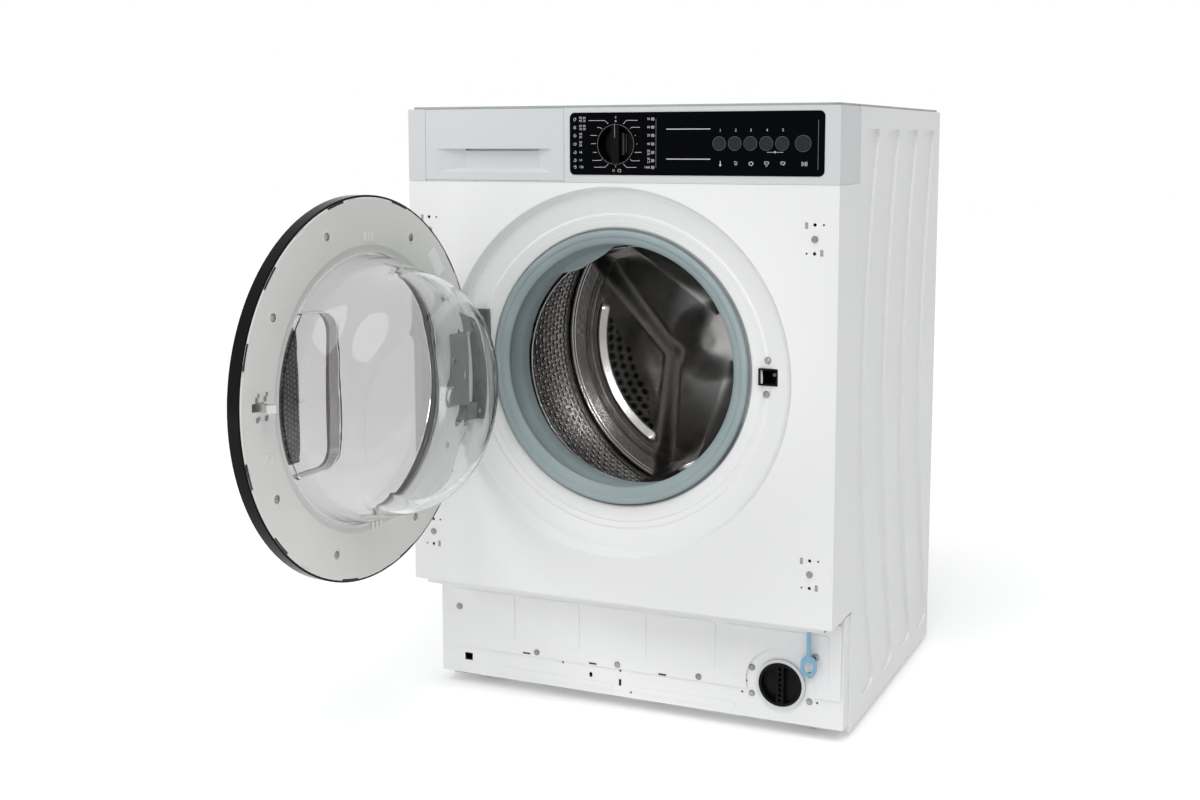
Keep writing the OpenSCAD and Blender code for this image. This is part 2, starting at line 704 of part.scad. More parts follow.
lock_half = 42;
module door_lock() {
    y = dish_y(norm([lock_x, lock_z - axis_z])) - 2.5;
    w = lock_w / 2 - gap;
    h = lock_h / 2 - gap;
    color([0.08, 0.08, 0.08]) difference() {
        union() {
            box([lock_x - w, y, lock_z - h], [lock_x + w, dish_depth + 3, lock_z + h]);
            box([lock_x - 19, dish_depth + 2, lock_z - lock_half], [lock_x + 20, 58, lock_z + lock_half]);
            box([lock_x + 15, 52, lock_z - lock_half], [pull_x + 4, 62, lock_z - lock_half + 6]);
        }
        box([lock_x - w + 2, y - 1, lock_z - h + 2], [lock_x + w - 2, 50, lock_z + h - 2]);
        for (p = lock_screws) screw_hole(p);
    }
    color("beige") box([lock_x + w - 6.2, y + 15, lock_z - h + 2 + gap],
        [lock_x + w - 2 - gap, 50 - gap, lock_z + h - 2 - gap]);
}

bracket_x = [-214, -187];
bracket_z = [400, 551];
ear_z = [[400, 424], [524, 550]];
ear_end = [-207, 16];
module hinge_bracket() {
    pin = [-hinge_x, -hinge_y];
    n = [-(ear_end - pin)[1], (ear_end - pin)[0]] / norm(ear_end - pin) * 4.5;
    color([0.3, 0.33, 0.33]) {
        difference() {
            union() {
                box([bracket_x[0], bracket_front, bracket_z[0]], [bracket_x[1], dish_depth, bracket_z[1]]);
                for (z = ear_z) translate([0, 0, z[0]]) linear_extrude(z[1] - z[0]) {
                    translate(pin) circle(r = pin_r + 2.5, $fn = 32);
                    polygon([pin + n, pin - n, ear_end - n, ear_end + n]);
                }
            }
            behind_dish(gap);
            for (p = bracket_screws) screw_hole(p);
            translate([pin[0], pin[1], ear_z[0][0] - 1]) cylinder(r = pin_r + run, h = ear_z[1][1] - ear_z[0][0] + 2);
        }
        translate([pin[0], pin[1], ear_z[0][0] - 2]) cylinder(r = pin_r, h = ear_z[1][1] - ear_z[0][0] + 4);
    }
}

module cabinet_screws() {
    color("silver") {
        for (p = concat(plate_screws, kick_screws, filter_screws, lock_screws, bracket_screws)) front_screw(p);
        for (p = concat(rear_screws, cover_screws)) rear_screw(p);
    }
}

// Seal between the front panel and the tub

neck_r = 176;
neck_y = tub_y - 10;
module door_seal() {
    t = seal_t;
    r = opening_r;
    d = dish_depth;
    lip = seal_lip_r + t / 2;
    collar = neck_r + gap + t / 2;
    color("lightslategray") turned(band([
        [r + 4.5, d - 4.7], [r + 1.2, d - 3.6], [r - 2, d - 0.5], [r - 3.5, d + 4], [r - 8, d + 9],
        [lip + 8, d + 17], [lip + 2.5, d + 26], [lip, d + 33], [lip + 2.5, tub_y], [lip + 7.5, tub_y - 1.5],
        [neck_r - 7.5, tub_y - 10], [neck_r - 5, tub_y - 17.5], [neck_r - 1.5, tub_y - 22.5],
        [r + 1, tub_y - 23.5], [r + 5.5, tub_y - 20], [r + 6, tub_y - 14], [r + 2.5, tub_y - 9.5],
        [collar, tub_y - 6.5], [collar, tub_y - 0.7]
    ], t));
}

// Wire that holds the seal's lip on the front panel, closed by a small coil spring
wire_r = 0.9;
coil_r = 1.95;
coil_wire = 0.45;
coil_from = 19.6;
coil_turns = 38;
coil_pitch = 1.7;
coil_steps = 8;
clamp_r = opening_r + 1.5;
clamp_y = dish_depth - 3.6 - seal_t / 2 - gap - wire_r;
coil_y = dish_depth - 3.6 - seal_t / 2 - gap - coil_r - coil_wire;
coil_angle = coil_turns * coil_pitch / clamp_r * 180 / PI;

// Centre of the spring's wire after k steps, and the frame of its cross-section there
function coil_at(k) = let (a = coil_from + coil_angle * k / (coil_turns * coil_steps), b = 360 * k / coil_steps)
    [(clamp_r + coil_r * cos(b)) * cos(a), (clamp_r + coil_r * cos(b)) * sin(a), coil_y + coil_r * sin(b)];
function coil_ring(k) = let (
    t = unit(coil_at(k + 0.5) - coil_at(k - 0.5)),
    u = unit(cross(t, [cos(coil_from), sin(coil_from), 0.3])),
    v = cross(t, u)
) [for (j = [0:5]) coil_at(k) + coil_wire * (cos(60 * j) * u + sin(60 * j) * v)];
module clamp_spring() {
    n = coil_turns * coil_steps;
    polyhedron(
        points = [for (k = [0:n]) for (p = coil_ring(k)) p],
        faces = concat(
            [for (k = [0:n - 1], j = [0:5]) [6 * k + j, 6 * k + 6 + j, 6 * k + (j + 1) % 6]],
            [for (k = [0:n - 1], j = [0:5]) [6 * k + (j + 1) % 6, 6 * k + 6 + j, 6 * k + 6 + (j + 1) % 6]],
            [for (j = [1:4]) [0, j, j + 1]],
            [for (j = [1:4]) [6 * n, 6 * n + j + 1, 6 * n + j]]
        )
    );
}
echo(coil_gap = min([for (j = [4:12]) norm(coil_at(j) - coil_at(0))]) - 2 * coil_wire);
module seal_clamp_ring() {
    color("silver") into(0, 0, axis_z) {
        rotate([0, 0, coil_from + coil_angle + 0.8]) rotate_extrude(angle = 360 - coil_angle - 1.6, $fn = 128)
            translate([clamp_r, clamp_y]) circle(r = wire_r, $fn = 16);
        clamp_spring();
    }
}

// Drain pump and its filter

filter_y = [plinth_back - 4.5, 132];
sump_r = cap_r + 4.2;
module filter_housing() {
    into(filter_x, 0, filter_z) color("white") difference() {
        union() {
            translate([0, 0, filter_y[0]]) cylinder(r = sump_r, h = filter_y[1] - filter_y[0]);
            translate([0, 0, plinth_back + sheet_t + gap]) cylinder(r = sump_r + 6, h = 3);
            translate([-sump_r - 10, -10, filter_y[1] - 36]) cube([20, 20, 20]);
        }
        translate([0, 0, filter_y[0] - 1]) cylinder(r = cap_r + 0.4, h = filter_y[1] - filter_y[0] - 3);
    }
    color("white") box([filter_x - 9, filter_y[1] - 30, tray_floor + tray_t + gap],
        [filter_x + 9, filter_y[1] - 10, filter_z - sump_r + 3]);
}

module filter_cap() {
    bar = 5;
    into(filter_x, 0, filter_z) color("black") {
        difference() {
            translate([0, 0, filter_y[0] - 1]) cylinder(r = cap_r, h = 16);
            difference() {
                translate([0, 0, filter_y[0] - 2]) cylinder(r = cap_r - 3.5, h = 10);
                translate([-bar, -cap_r, filter_y[0] - 2]) cube([2 * bar, 2 * cap_r, 12]);
            }
            for (k = [-3:3]) translate([-2, k * 7 - 2.2, filter_y[0] - 2]) cube([4, 4.4, 7]);
        }
        difference() {
            translate([0, 0, filter_y[0] + 14]) cylinder(r = cap_r - 4, h = 38);
            translate([0, 0, filter_y[0] + 18]) cylinder(r = cap_r - 7, h = 31);
            for (a = [0:45:179]) rotate([0, 0, a]) translate([-cap_r, -4, filter_y[0] + 20]) cube([2 * cap_r, 8, 26]);
        }
    }
}

module drain_pump() {
    r = 30;
    x = filter_x - sump_r - 10.3;
    color([0.2, 0.2, 0.22]) {
        translate([x - 62, filter_y[1] - 26, filter_z]) rotate([0, 90, 0]) cylinder(r = r, h = 62);
        translate([x - 62 - 14, filter_y[1] - 26, filter_z]) rotate([0, 90, 0]) cylinder(r = r - 10, h = 15);
        translate([x - 30, filter_y[1] - 26, filter_z + 20]) cylinder(r = 10, h = 34);
        box([x - 50, filter_y[1] - 40, tray_floor + tray_t + gap], [x - 10, filter_y[1] - 12, filter_z]);
    }
}

// Pull that opens the door's lock by hand: a strap with a ring on its end
ring_z = 102;
ring_out = [10.5, 14];
strap_w = 5.2;
strap_t = 2.4;
module emergency_pull() {
    y0 = pull_y - strap_t / 2;
    y1 = pull_y + strap_t / 2;
    z0 = ring_z + 8;
    color("skyblue") {
        plate_xz(y0, y1) difference() {
            union() {
                soft_rect([pull_x - ring_out[0], ring_z - ring_out[1]], [pull_x + ring_out[0], ring_z + ring_out[1]], 10);
                translate([pull_x - strap_w / 2, z0]) square([strap_w, lock_z - lock_half - gap - z0]);
            }
            soft_rect([pull_x - 6, ring_z - 9], [pull_x + 6, ring_z + 6], 5.9);
        }
    }
}

// Tub

port_y = [120, 380];
spring_lug_z = [588, 600];
module tub_lugs(y) {
    for (s = [0, 1]) mirror([s, 0, 0]) {
        box([200, y - 11, spring_lug_z[0]], [spring_x + 6, y + 11, spring_lug_z[1]]);
        box([damper_x - 9, y - 9, damper_top], [damper_x + 9, y + 9, damper_top + 50]);
    }
}
tub_out = tub_r + tub_t;
module tub_bore(y0, y1) {
    into(0, y0, axis_z) cylinder(r = tub_r, h = y1 - y0, $fn = 128);
}

module tub_front() {
    color("white") difference() {
        union() {
            into(0, tub_y, axis_z) cylinder(r = tub_out, h = tub_split_y - tub_y, $fn = 128);
            into(0, neck_y, axis_z) cylinder(r = neck_r, h = 20, $fn = 128);
            into(0, tub_split_y - 8, axis_z) cylinder(r = tub_out + 7, h = 8, $fn = 128);
            tub_lugs(spring_y[0]);
        }
        tub_bore(tub_y + tub_t, tub_split_y + 1);
        into(0, neck_y - 1, axis_z) cylinder(r = neck_r - 3.5, h = 40, $fn = 128);
        translate([fan_x + 40, port_y[0], axis_z + 100]) cylinder(r = 14, h = 200);
    }
}

motor_lug_y = [318, 384];
module tub_rear() {
    color("white") difference() {
        union() {
            into(0, tub_split_y, axis_z) cylinder(r = tub_out, h = tub_back_y + tub_t - tub_split_y, $fn = 128);
            into(0, tub_split_y, axis_z) cylinder(r = tub_out + 7, h = 8, $fn = 128);
            tub_lugs(spring_y[1]);
            for (y = motor_lug_y) box([motor_x - 18, y, motor_z + motor_r + 6], [motor_x + 18, y + 8, axis_z - 225]);
        }
        tub_bore(tub_split_y - 1, tub_back_y);
        into(0, tub_back_y - 1, axis_z) cylinder(r = hub_r - 2, h = 20);
        for (y = motor_lug_y) into(motor_x, y - 1, motor_bolt_z) cylinder(r = 4 + run, h = 10, $fn = 32);
        box([-heater_half - gap, tub_back_y - 1, heater_z - 6 - gap], [heater_half + gap, tub_back_y + 8, heater_z + 6 + gap]);
        box([duct_x[0] + 8, tub_back_y - 1, 350], [duct_x[0] + 48, tub_back_y + 8, 380]);
    }
    color("white") difference() {
        into(0, hub_y[0], axis_z) cylinder(r = hub_r, h = hub_y[1] - hub_y[0]);
        into(0, hub_y[0] - 1, axis_z) cylinder(r = bearing_r + run, h = bearing_w + 5);
        into(0, hub_y[1] - bearing_w, axis_z) cylinder(r = bearing_r + run, h = bearing_w + 1);
        into(0, hub_y[0], axis_z) cylinder(r = bearing_r - 4, h = 80);
    }
}

bearing_r = 31;
bearing_w = 18;
module drum_bearings() {
    color("gray") {
        into(0, hub_y[0] + 4 + gap, axis_z) tube(bearing_r, shaft_r + run, bearing_w - 1);
        into(0, hub_y[1] - bearing_w + gap, axis_z) tube(bearing_r, shaft_r + run, bearing_w - 1);
    }
    color([0.1, 0.1, 0.1]) into(0, hub_y[0], axis_z) tube(bearing_r, shaft_r + run, 4);
}

weight_r = [206, 255];
module counterweights() {
    y = [tub_y - 36, tub_y - gap];
    color("darkgray") for (a = [35, 215]) into(0, 0, axis_z) rotate([0, 0, a])
        rotate_extrude(angle = 110, $fn = 128) translate([weight_r[0], y[0]]) square([weight_r[1] - weight_r[0], y[1] - y[0]]);
}

heater_half = 34;
heater_rod_r = 4;
heater_x = 22;
heater_r = (drum_r + tub_r) / 2;
heater_z = axis_z - sqrt(heater_r * heater_r - heater_x * heater_x);
module wash_heater() {
    y = [256, tub_back_y - 4];
    color("dimgray") {
        for (x = [-heater_x, heater_x]) into(x, y[0], heater_z) cylinder(r = heater_rod_r, h = y[1] - y[0] + 1, $fn = 32);
        translate([0, y[0], heater_z]) rotate([0, 0, 180]) rotate_extrude(angle = 180)
            translate([heater_x, 0]) circle(r = heater_rod_r, $fn = 32);
        box([-heater_half, y[1], heater_z - 6], [heater_half, tub_back_y + 12, heater_z + 6]);
        for (x = [-heater_x, 0, heater_x]) box([x - 3, tub_back_y + 11, heater_z - 0.5], [x + 3, tub_back_y + 22, heater_z + 0.5]);
    }
}

// Drive

motor_y = [300, 400];
motor_bolt_z = motor_z + motor_r + 16;
module drive_motor() {
    color("dimgray") {
        difference() {
            union() {
                into(motor_x, motor_y[0], motor_z) cylinder(r = motor_r, h = motor_y[1] - motor_y[0]);
                into(motor_x, motor_y[0] - 14, motor_z) cylinder(r = 26, h = 20);
                for (y = motor_lug_y) box([motor_x - 12, y - 8 - gap, motor_z + 20], [motor_x + 12, y - gap, motor_bolt_z + 10]);
            }
            into(motor_x, motor_y[1] - 40, motor_z) cylinder(r = 6 + run, h = 60);
            for (y = motor_lug_y) into(motor_x, y - 20, motor_bolt_z) cylinder(r = 4 + run, h = 40, $fn = 32);
        }
        into(motor_x, motor_lug_y[0] - 12, motor_bolt_z) cylinder(r = 4, h = motor_lug_y[1] - motor_lug_y[0] + 24, $fn = 32);
    }
}

module motor_pulley() {
    color("silver") into(motor_x, 0, motor_z) {
        translate([0, 0, motor_y[1] - 38]) cylinder(r = 6, h = pulley_y + pulley_w + 2 - motor_y[1] + 38);
        translate([0, 0, pulley_y]) cylinder(r = rotor_r, h = pulley_w);
    }
}

// The belt's outline: two circles and their common outer tangents
module belt_loop(grow) {
    a = [0, axis_z];
    b = [motor_x, motor_z];
    ra = pulley_r + grow;
    rb = rotor_r + grow;
    d = b - a;
    turn = acos((ra - rb) / norm(d));
    base = atan2(d[1], d[0]);
    function at(c, r, angle) = c + r * [cos(angle), sin(angle)];
    translate(a) circle(r = ra, $fn = 128);
    translate(b) circle(r = rb);
    polygon([at(a, ra, base + turn), at(a, ra, base - turn), at(b, rb, base - turn), at(b, rb, base + turn)]);
}

module drive_belt() {
    color([0.12, 0.12, 0.12]) plate_xz(pulley_y + 1, pulley_y + pulley_w - 1) difference() {
        belt_loop(gap + belt_t);
        belt_loop(gap);
    }
}

module drum_pulley() {
    color("silver") into(0, pulley_y, axis_z) {
        tube(pulley_r, pulley_r - 6, pulley_w);
        tube(26, shaft_r + run, pulley_w + 4);
        for (a = [0:60:359]) rotate([0, 0, a]) translate([25, -7, 5]) cube([pulley_r - 30, 14, 6]);
        translate([0, 0, shaft_end_y - pulley_y + gap]) cylinder(r = 16, h = 5, $fn = 6);
    }
}

// Drum

module drum_shell() {
    y = drum_y;
    r = drum_r - drum_t / 2;
    color("silver") turned(band([
        [mouth_r + 0.5, y + 8], [mouth_r + 0.5, y + 2], [mouth_r + 3.5, y], [mouth_r + 12, y + 1.5],
        [r - 16, y + 7], [r - 5, y + 12], [r, y + 20], [r, drum_back_y]
    ], drum_t));
}

lifter_at = [for (k = [0:2]) 258 + 120 * k];

// Drum's back: a pressed sheet with a three-armed star, a round hub, and beads and air holes between the arms
star_h = 9;
star_arm = [[30, 54], [205, 33]];
bead_r = [186, 233];
bead_half = 36;
back_y = drum_back_y - 6;
back_t = 1.2;
dome_r = [33, 40];
module star_shape() {
    for (a = lifter_at) rotate(-a) polygon([
        [0, -star_arm[0][1]], [star_arm[0][0], -star_arm[0][1]], [star_arm[1][0], -star_arm[1][1]],
        [star_arm[1][0] + 8, 8 - star_arm[1][1]], [star_arm[1][0] + 8, star_arm[1][1] - 8],
        [star_arm[1][0], star_arm[1][1]], [star_arm[0][0], star_arm[0][1]], [0, star_arm[0][1]]
    ]);
}

// The pressing's raised forms, w smaller all round
module back_forms(w) {
    translate([0, 0, back_y - star_h + w]) linear_extrude(star_h + 1) offset(delta = -w) star_shape();
    translate([0, 0, back_y]) rotate_extrude($fn = 128) translate([bead_r[1], 0]) circle(r = 4 - w, $fn = 24);
    for (a = lifter_at) translate([0, 0, back_y]) rotate([0, 0, 60 - bead_half - a])
        rotate_extrude(angle = 2 * bead_half, $fn = 128) translate([bead_r[0], 0]) circle(r = 5 - w, $fn = 24);
    translate([0, 0, back_y - star_h - 3 + w]) cylinder(r1 = dome_r[0] - w, r2 = dome_r[1] - w, h = 4);
}

module drum_back() {
    color("silver") into(0, 0, axis_z) difference() {
        union() {
            translate([0, 0, back_y]) cylinder(r = drum_r - drum_t - gap, h = back_t, $fn = 128);
            back_forms(0);
        }
        back_forms(back_t);
        translate([0, 0, back_y + back_t]) cylinder(r = drum_r, h = 12);
    }
}

// Cross-section of a lifter, w smaller all round
module lifter_shape(w) {
    r = drum_r - drum_t - gap;
    tip = r - lifter_h + w;
    polygon([
        [r + 2 + w, w - 42], [r - 14 + w / 2, w - 34], [tip + 6, w - 13], [tip, w / 2 - 7],
        [tip, 7 - w / 2], [tip + 6, 13 - w], [r - 14 + w / 2, 34 - w], [r + 2 + w, 42 - w]
    ]);
}

module drum_lifters() {
    r = drum_r - drum_t - gap;
    y0 = drum_y + 24;
    h = back_y - star_h - gap - y0;
    w = 1.5;
    color("silver") for (a = lifter_at) into(0, 0, axis_z) rotate([0, 0, -a]) difference() {
        intersection() {
            translate([0, 0, y0]) cylinder(r = r, h = h, $fn = 128);
            translate([0, 0, y0]) linear_extrude(h) lifter_shape(0);
        }
        translate([0, 0, y0 + w]) linear_extrude(h - 2 * w) lifter_shape(w);
    }
}

spider_y = [back_y + back_t + gap, drum_back_y + 12];
module drum_spider() {
    color("darkgray") into(0, 0, axis_z) {
        translate([0, 0, spider_y[0]]) cylinder(r = 38, h = spider_y[1] - spider_y[0]);
        for (a = lifter_at) rotate([0, 0, -a]) translate([0, 0, spider_y[0]])
            linear_extrude(spider_y[1] - spider_y[0] - 2)
                polygon([[20, -26], [drum_r - 26, -10], [drum_r - 10, -16], [drum_r - 10, 16], [drum_r - 26, 10], [20, 26]]);
        translate([0, 0, spider_y[0] + 1]) cylinder(r = shaft_r, h = shaft_end_y - spider_y[0] - 1);
    }
}

// Suspension

spring_r = 7;
module suspension_springs() {
    color("dimgray") for (x = [-spring_x, spring_x], y = spring_y) translate([x, y, 0]) {
        translate([0, 0, spring_lug_z[1] + gap]) cylinder(r = 1.8, h = 24, $fn = 24);
        translate([0, 0, spring_z[0] + 10]) cylinder(r = spring_r, h = spring_z[1] - spring_z[0] - 22);
        translate([0, 0, spring_z[1] - 13]) cylinder(r = 1.8, h = frame_z - gap - spring_z[1] + 13, $fn = 24);
    }
}

rod_r = 5;
tube_top = 196;
module damper_rods() {
    color("silver") for (x = [-damper_x, damper_x], y = damper_y) translate([x, y, 0]) {
        translate([0, 0, 118]) cylinder(r = rod_r, h = damper_top - gap - 118);
        translate([0, 0, damper_top - 14]) cylinder(r = 9, h = 14 - gap);
    }
}

module damper_tubes() {
    z0 = tray_floor + tray_t + gap;
    color("black") for (x = [-damper_x, damper_x], y = damper_y) translate([x, y, 0]) difference() {
        union() {
            translate([0, 0, z0]) cylinder(r = 10, h = tube_top - z0);
            translate([-14, -9, z0]) cube([28, 18, 12]);
        }
        translate([0, 0, 60]) cylinder(r = rod_r + run, h = 200);
    }
}

// Dryer

fan_wall = 3;
fan_case_top = fan_z + fan_h;
module dryer_fan_housing() {
    color([0.35, 0.36, 0.38]) {
        translate([fan_x, fan_y, 0]) difference() {
            union() {
                translate([0, 0, fan_z]) cylinder(r = fan_r, h = fan_h);
                for (p = [[-44, -30], [-44, 30]]) translate([p[0], p[1], 0])
                    translate([0, 0, fan_foot_z(fan_x + p[0])]) cylinder(r = 6, h = fan_z - fan_foot_z(fan_x + p[0]) + 1);
            }
            translate([0, 0, fan_z + fan_wall]) cylinder(r = fan_r - fan_wall, h = fan_h - 2 * fan_wall);
            translate([0, 0, fan_z]) cylinder(r = 4 + run, h = fan_h + 5);
            translate([30, -fan_r - 5, fan_z + 6]) cube([fan_r, fan_r, fan_h - 12]);
        }
        translate([fan_x, fan_y, fan_case_top + gap]) difference() {
            cylinder(r = 26, h = 17);
            translate([0, 0, -1]) cylinder(r = 4 + run, h = 12);
        }
    }
}
function fan_foot_z(x) = axis_z + sqrt(pow(tub_out, 2) - pow(abs(x) - 6, 2)) + gap;

module dryer_impeller() {
    color("silver") translate([fan_x, fan_y, fan_z + fan_wall + 2]) {
        cylinder(r = fan_r - 10, h = 3);
        for (a = [0:30:359]) rotate([0, 0, a]) translate([24, -1, 2]) cube([fan_r - 36, 2, fan_h - 14]);
        cylinder(r = 14, h = fan_h - 12);
        cylinder(r = 4, h = fan_h + 2, $fn = 32);
    }
}

duct_x = [-238, -176];
duct_y = [tub_back_y + tub_t + 0.5, tub_back_y + 44];
duct_z = [axis_z - 145.3, fan_z + 2];
module dryer_duct() {
    w = 2.5;
    front = [[fan_x + 31, 100, fan_z + 2], [fan_x + 66, fan_y - 61, fan_case_top - 2]];
    leg = [[fan_x + 22, 100, axis_z + 130], [fan_x + 58, 140, fan_z + 10]];
    color([0.3, 0.31, 0.33]) {
        difference() {
            union() { box(front[0], front[1]); box(leg[0], leg[1]); }
            box(front[0] + [w, w, w], front[1] - [w, -1, w]);
            box(leg[0] + [w, w, -1], leg[1] - [w, w, -w - 1]);
            into(0, 50, axis_z) cylinder(r = tub_out + gap, h = 200, $fn = 128);
        }
        difference() {
            union() {
                box([duct_x[0], duct_y[0], duct_z[0]], [duct_x[1], duct_y[1], duct_z[1]]);
                box([duct_x[0], duct_y[0], duct_z[1] - 34], [fan_x + 10, duct_y[1], fan_case_top - 2]);
                box([fan_x - 34, fan_y + fan_r + gap, fan_z + 2], [fan_x + 10, duct_y[1], fan_case_top - 2]);
            }
            box([duct_x[0] + w, duct_y[0] + w, duct_z[0] + w], [duct_x[1] - w, duct_y[1] - w, duct_z[1]]);
            box([duct_x[0] + w, duct_y[0] + w, duct_z[1] - 34 + w], [fan_x + 10 - w, duct_y[1] - w, fan_case_top - 2 - w]);
            box([fan_x - 34 + w, fan_y + fan_r - 1, fan_z + 2 + w], [fan_x + 10 - w, duct_y[1] - w, fan_case_top - 2 - w]);
        }
    }
}

// Door, all of it drawn closed and then turned to the open pose

door_screw_r = 203;
door_screw_at = [for (a = [31, 68.5, 118, 150, 210, 242, 290, 330])
    [door_screw_r * cos(a), axis_z + door_screw_r * sin(a)]];
skin_t = 2.2;
skin_y = [-13, face_out];
hinge_gap_z = [396, 555];
grip_d = [107, 403, 560];
grip_round = 152;

// The black segment behind which the fingers reach, drawn in X and Z
module grip_shape(grow) {
    intersection() {
        translate([0, axis_z]) circle(r = window_r + 1, $fn = 128);
        translate([grip_d[0] - grow, grip_d[1] - grow]) square([80, grip_d[2] - grip_d[1] + 2 * grow]);
    }
}

module door_outer_ring() {
    r = door_r;
    t = skin_t;
    door_pose() color([0.06, 0.06, 0.07]) {
        difference() {
            union() {
                turned([
                    [r - t, rim_in], [r, rim_in - 0.8], [r, rim_out], [r - 7.5, skin_y[0]],
                    [window_r, skin_y[1]], [window_r, skin_y[1] + t], [r - 8.3, skin_y[0] + t],
                    [r - t, rim_out + 1]
                ]);
                plate_xz(face_out + 0.2, face_out + 3) grip_shape(0);
                for (p = door_screw_at) into(p[0], skin_y[0] + 0.7, p[1]) cylinder(r = 4.5, h = 5.5 - gap - skin_y[0] - 0.7);
            }
            box([-r - 1, skin_y[0] + skin_t, hinge_gap_z[0]], [-hinge_x + 8.5, rim_in + 1, hinge_gap_z[1]]);
            for (p = door_screw_at) into(p[0], -1, p[1]) cylinder(r = screw_shank_r + gap, h = 20, $fn = 24);
        }
    }
}

// Outline of the finger pocket, drawn in X and Z
module pocket_shape(grow) {
    intersection() {
        translate([0, axis_z]) circle(r = grip_round + grow, $fn = 128);
        soft_rect([50 - grow, 390 - grow], [190, 575 + grow], 26 + grow);
    }
}

module door_window_cover() {
    r = window_r - gap;
    w = 2;
    y = [-15.5, -12.5];
    floor_y = door_in - 5;
    door_pose() color([0.7, 0.72, 0.75, 0.5]) {
        difference() {
            union() {
                into(0, y[0], axis_z) cylinder(r = r, h = y[1] - y[0], $fn = 128);
                into(0, skin_y[0] - 0.1, axis_z) cylinder(r = r + 8, h = 1.6, $fn = 128);
                plate_xz(y[1] - eps, floor_y) pocket_shape(w);
            }
            plate_xz(y[0] - 1, floor_y - w) pocket_shape(0);
            plate_xz(y[0] - 1, y[1] + eps) grip_shape(gap);
        }
    }
}

// The door's inner frame: a flat ring with a skirt, the box of the latch and the seat of the hinge
arm_x = [-216, -182];
arm_y = [7.2, 9.9];
arm_z = [426, 523];
hook_box = [[190, 474], [218, 492]];
hook_hole = [[194, 478], [214, 488]];
hook_pin_y = -1;
hook_pin_r = 2;
rib_marks = [[2, 655], [-5.5, 655.5], [-13, 655], [-3, 300], [-11, 300], [-19, 301]];
clip_at = [12, 58, 84, 128, 152, 205, 232, 262, 304, 345];
module door_inner_frame() {
    r = frame_r;
    inner_r = bowl_r + 3;
    door_pose() color([0.75, 0.74, 0.72]) {
        difference() {
            union() {
                turned([
                    [r, -6], [r, door_in - 1.2], [r - 1.2, door_in], [inner_r + 10, door_in],
                    [inner_r + 4, door_in - 1.8], [inner_r, door_in - 2.1], [inner_r, door_in - 3.5],
                    [r - 2, door_in - 3.5], [r - 2, -6]
                ]);
                box([hook_box[0][0], hook_pin_y - 6, hook_box[0][1]], [hook_box[1][0], door_in, hook_box[1][1]]);
                for (p = rib_marks) box([p[0] - 1.2, door_in - 1, p[1]], [p[0] + 1.2, door_in + 0.8, p[1] + 11]);
            }
            box([hook_hole[0][0], hook_pin_y - 4.5, hook_hole[0][1]], [hook_hole[1][0], door_in + 1, hook_hole[1][1]]);
            box([-r - 1, -7, hinge_gap_z[0]], [arm_x[0] + 11, door_in + 1, hinge_gap_z[1]]);
            box([arm_x[0] - 1, arm_y[0] - gap, arm_z[0] - 1], [arm_x[1] + 1, door_in + 1, arm_z[1] + 1]);
            for (p = door_screw_at) {
                into(p[0], door_in - 1, p[1]) cylinder(r = 6.3, h = 4, $fn = 32);
                into(p[0], -1, p[1]) cylinder(r = screw_shank_r + gap, h = 20, $fn = 24);
            }
            for (z = arm_screw_z) into(arm_screw_x, -1, z) cylinder(r = screw_shank_r + gap, h = 12, $fn = 24);
            into(186.5, door_in - 0.8, 420) cylinder(r = 5, h = 2, $fn = 32);
            for (x = [188, 202], z = [470, 496]) box([x - 2, 0, z - 2.5], [x + 2, door_in + 1, z + 2.5]);
            for (a = clip_at) into(0, door_in - 1.5, axis_z) rotate([0, 0, -a])
                translate([r - 3, -9, 0]) cube([8, 18, 4]);
        }
        translate([hook_x, hook_pin_y, hook_box[0][1] + 1]) cylinder(r = hook_pin_r, h = hook_box[1][1] - hook_box[0][1] - 2, $fn = 32);
    }
}

// The glass bowl: a turned shape whose end slants off towards the latch
facet_at = [31, 515];
facet_turn = [-6, 0, -14.5];
function bowl_y(k) = door_in + bowl_depth * k;
bowl_line = [
    [bowl_r, -20], [bowl_r, bowl_y(0)], [bowl_r - 3, bowl_y(0.17)], [bowl_r - 13, bowl_y(0.41)],
    [bowl_r - 17, bowl_y(0.57)], [bowl_r - 24.5, bowl_y(0.72)], [bowl_r - 32, bowl_y(0.81)],
    [bowl_r - 43, bowl_y(0.9)], [bowl_r - 56, bowl_y(0.965)], [bowl_r - 72, bowl_y(0.995)], [40, bowl_y(1)], [0, bowl_y(1)]
];
module bowl_solid(d) {
    n = len(bowl_line);
    p = [for (i = [0:n - 1]) i == n - 1 ? [0, bowl_line[i][1] - d] : bowl_line[i] + band_side(bowl_line, i) * d];
    intersection() {
        turned(concat([[0, -20]], p));
        translate([facet_at[0], bowl_y(1), facet_at[1]]) rotate(facet_turn)
            translate([-400, -600, -400]) cube([800, 600 - d, 800]);
    }
}

module door_glass_bowl() {
    door_pose() color([0.8, 0.9, 0.9, 0.4]) difference() {
        union() {
            bowl_solid(0);
            into(0, door_in - 7.5, axis_z) cylinder(r = bowl_r + 8, h = 3.7, $fn = 128);
        }
        bowl_solid(glass_t);
        box([-300, -300, 0], [300, door_in - 7.5, 900]);
    }
}

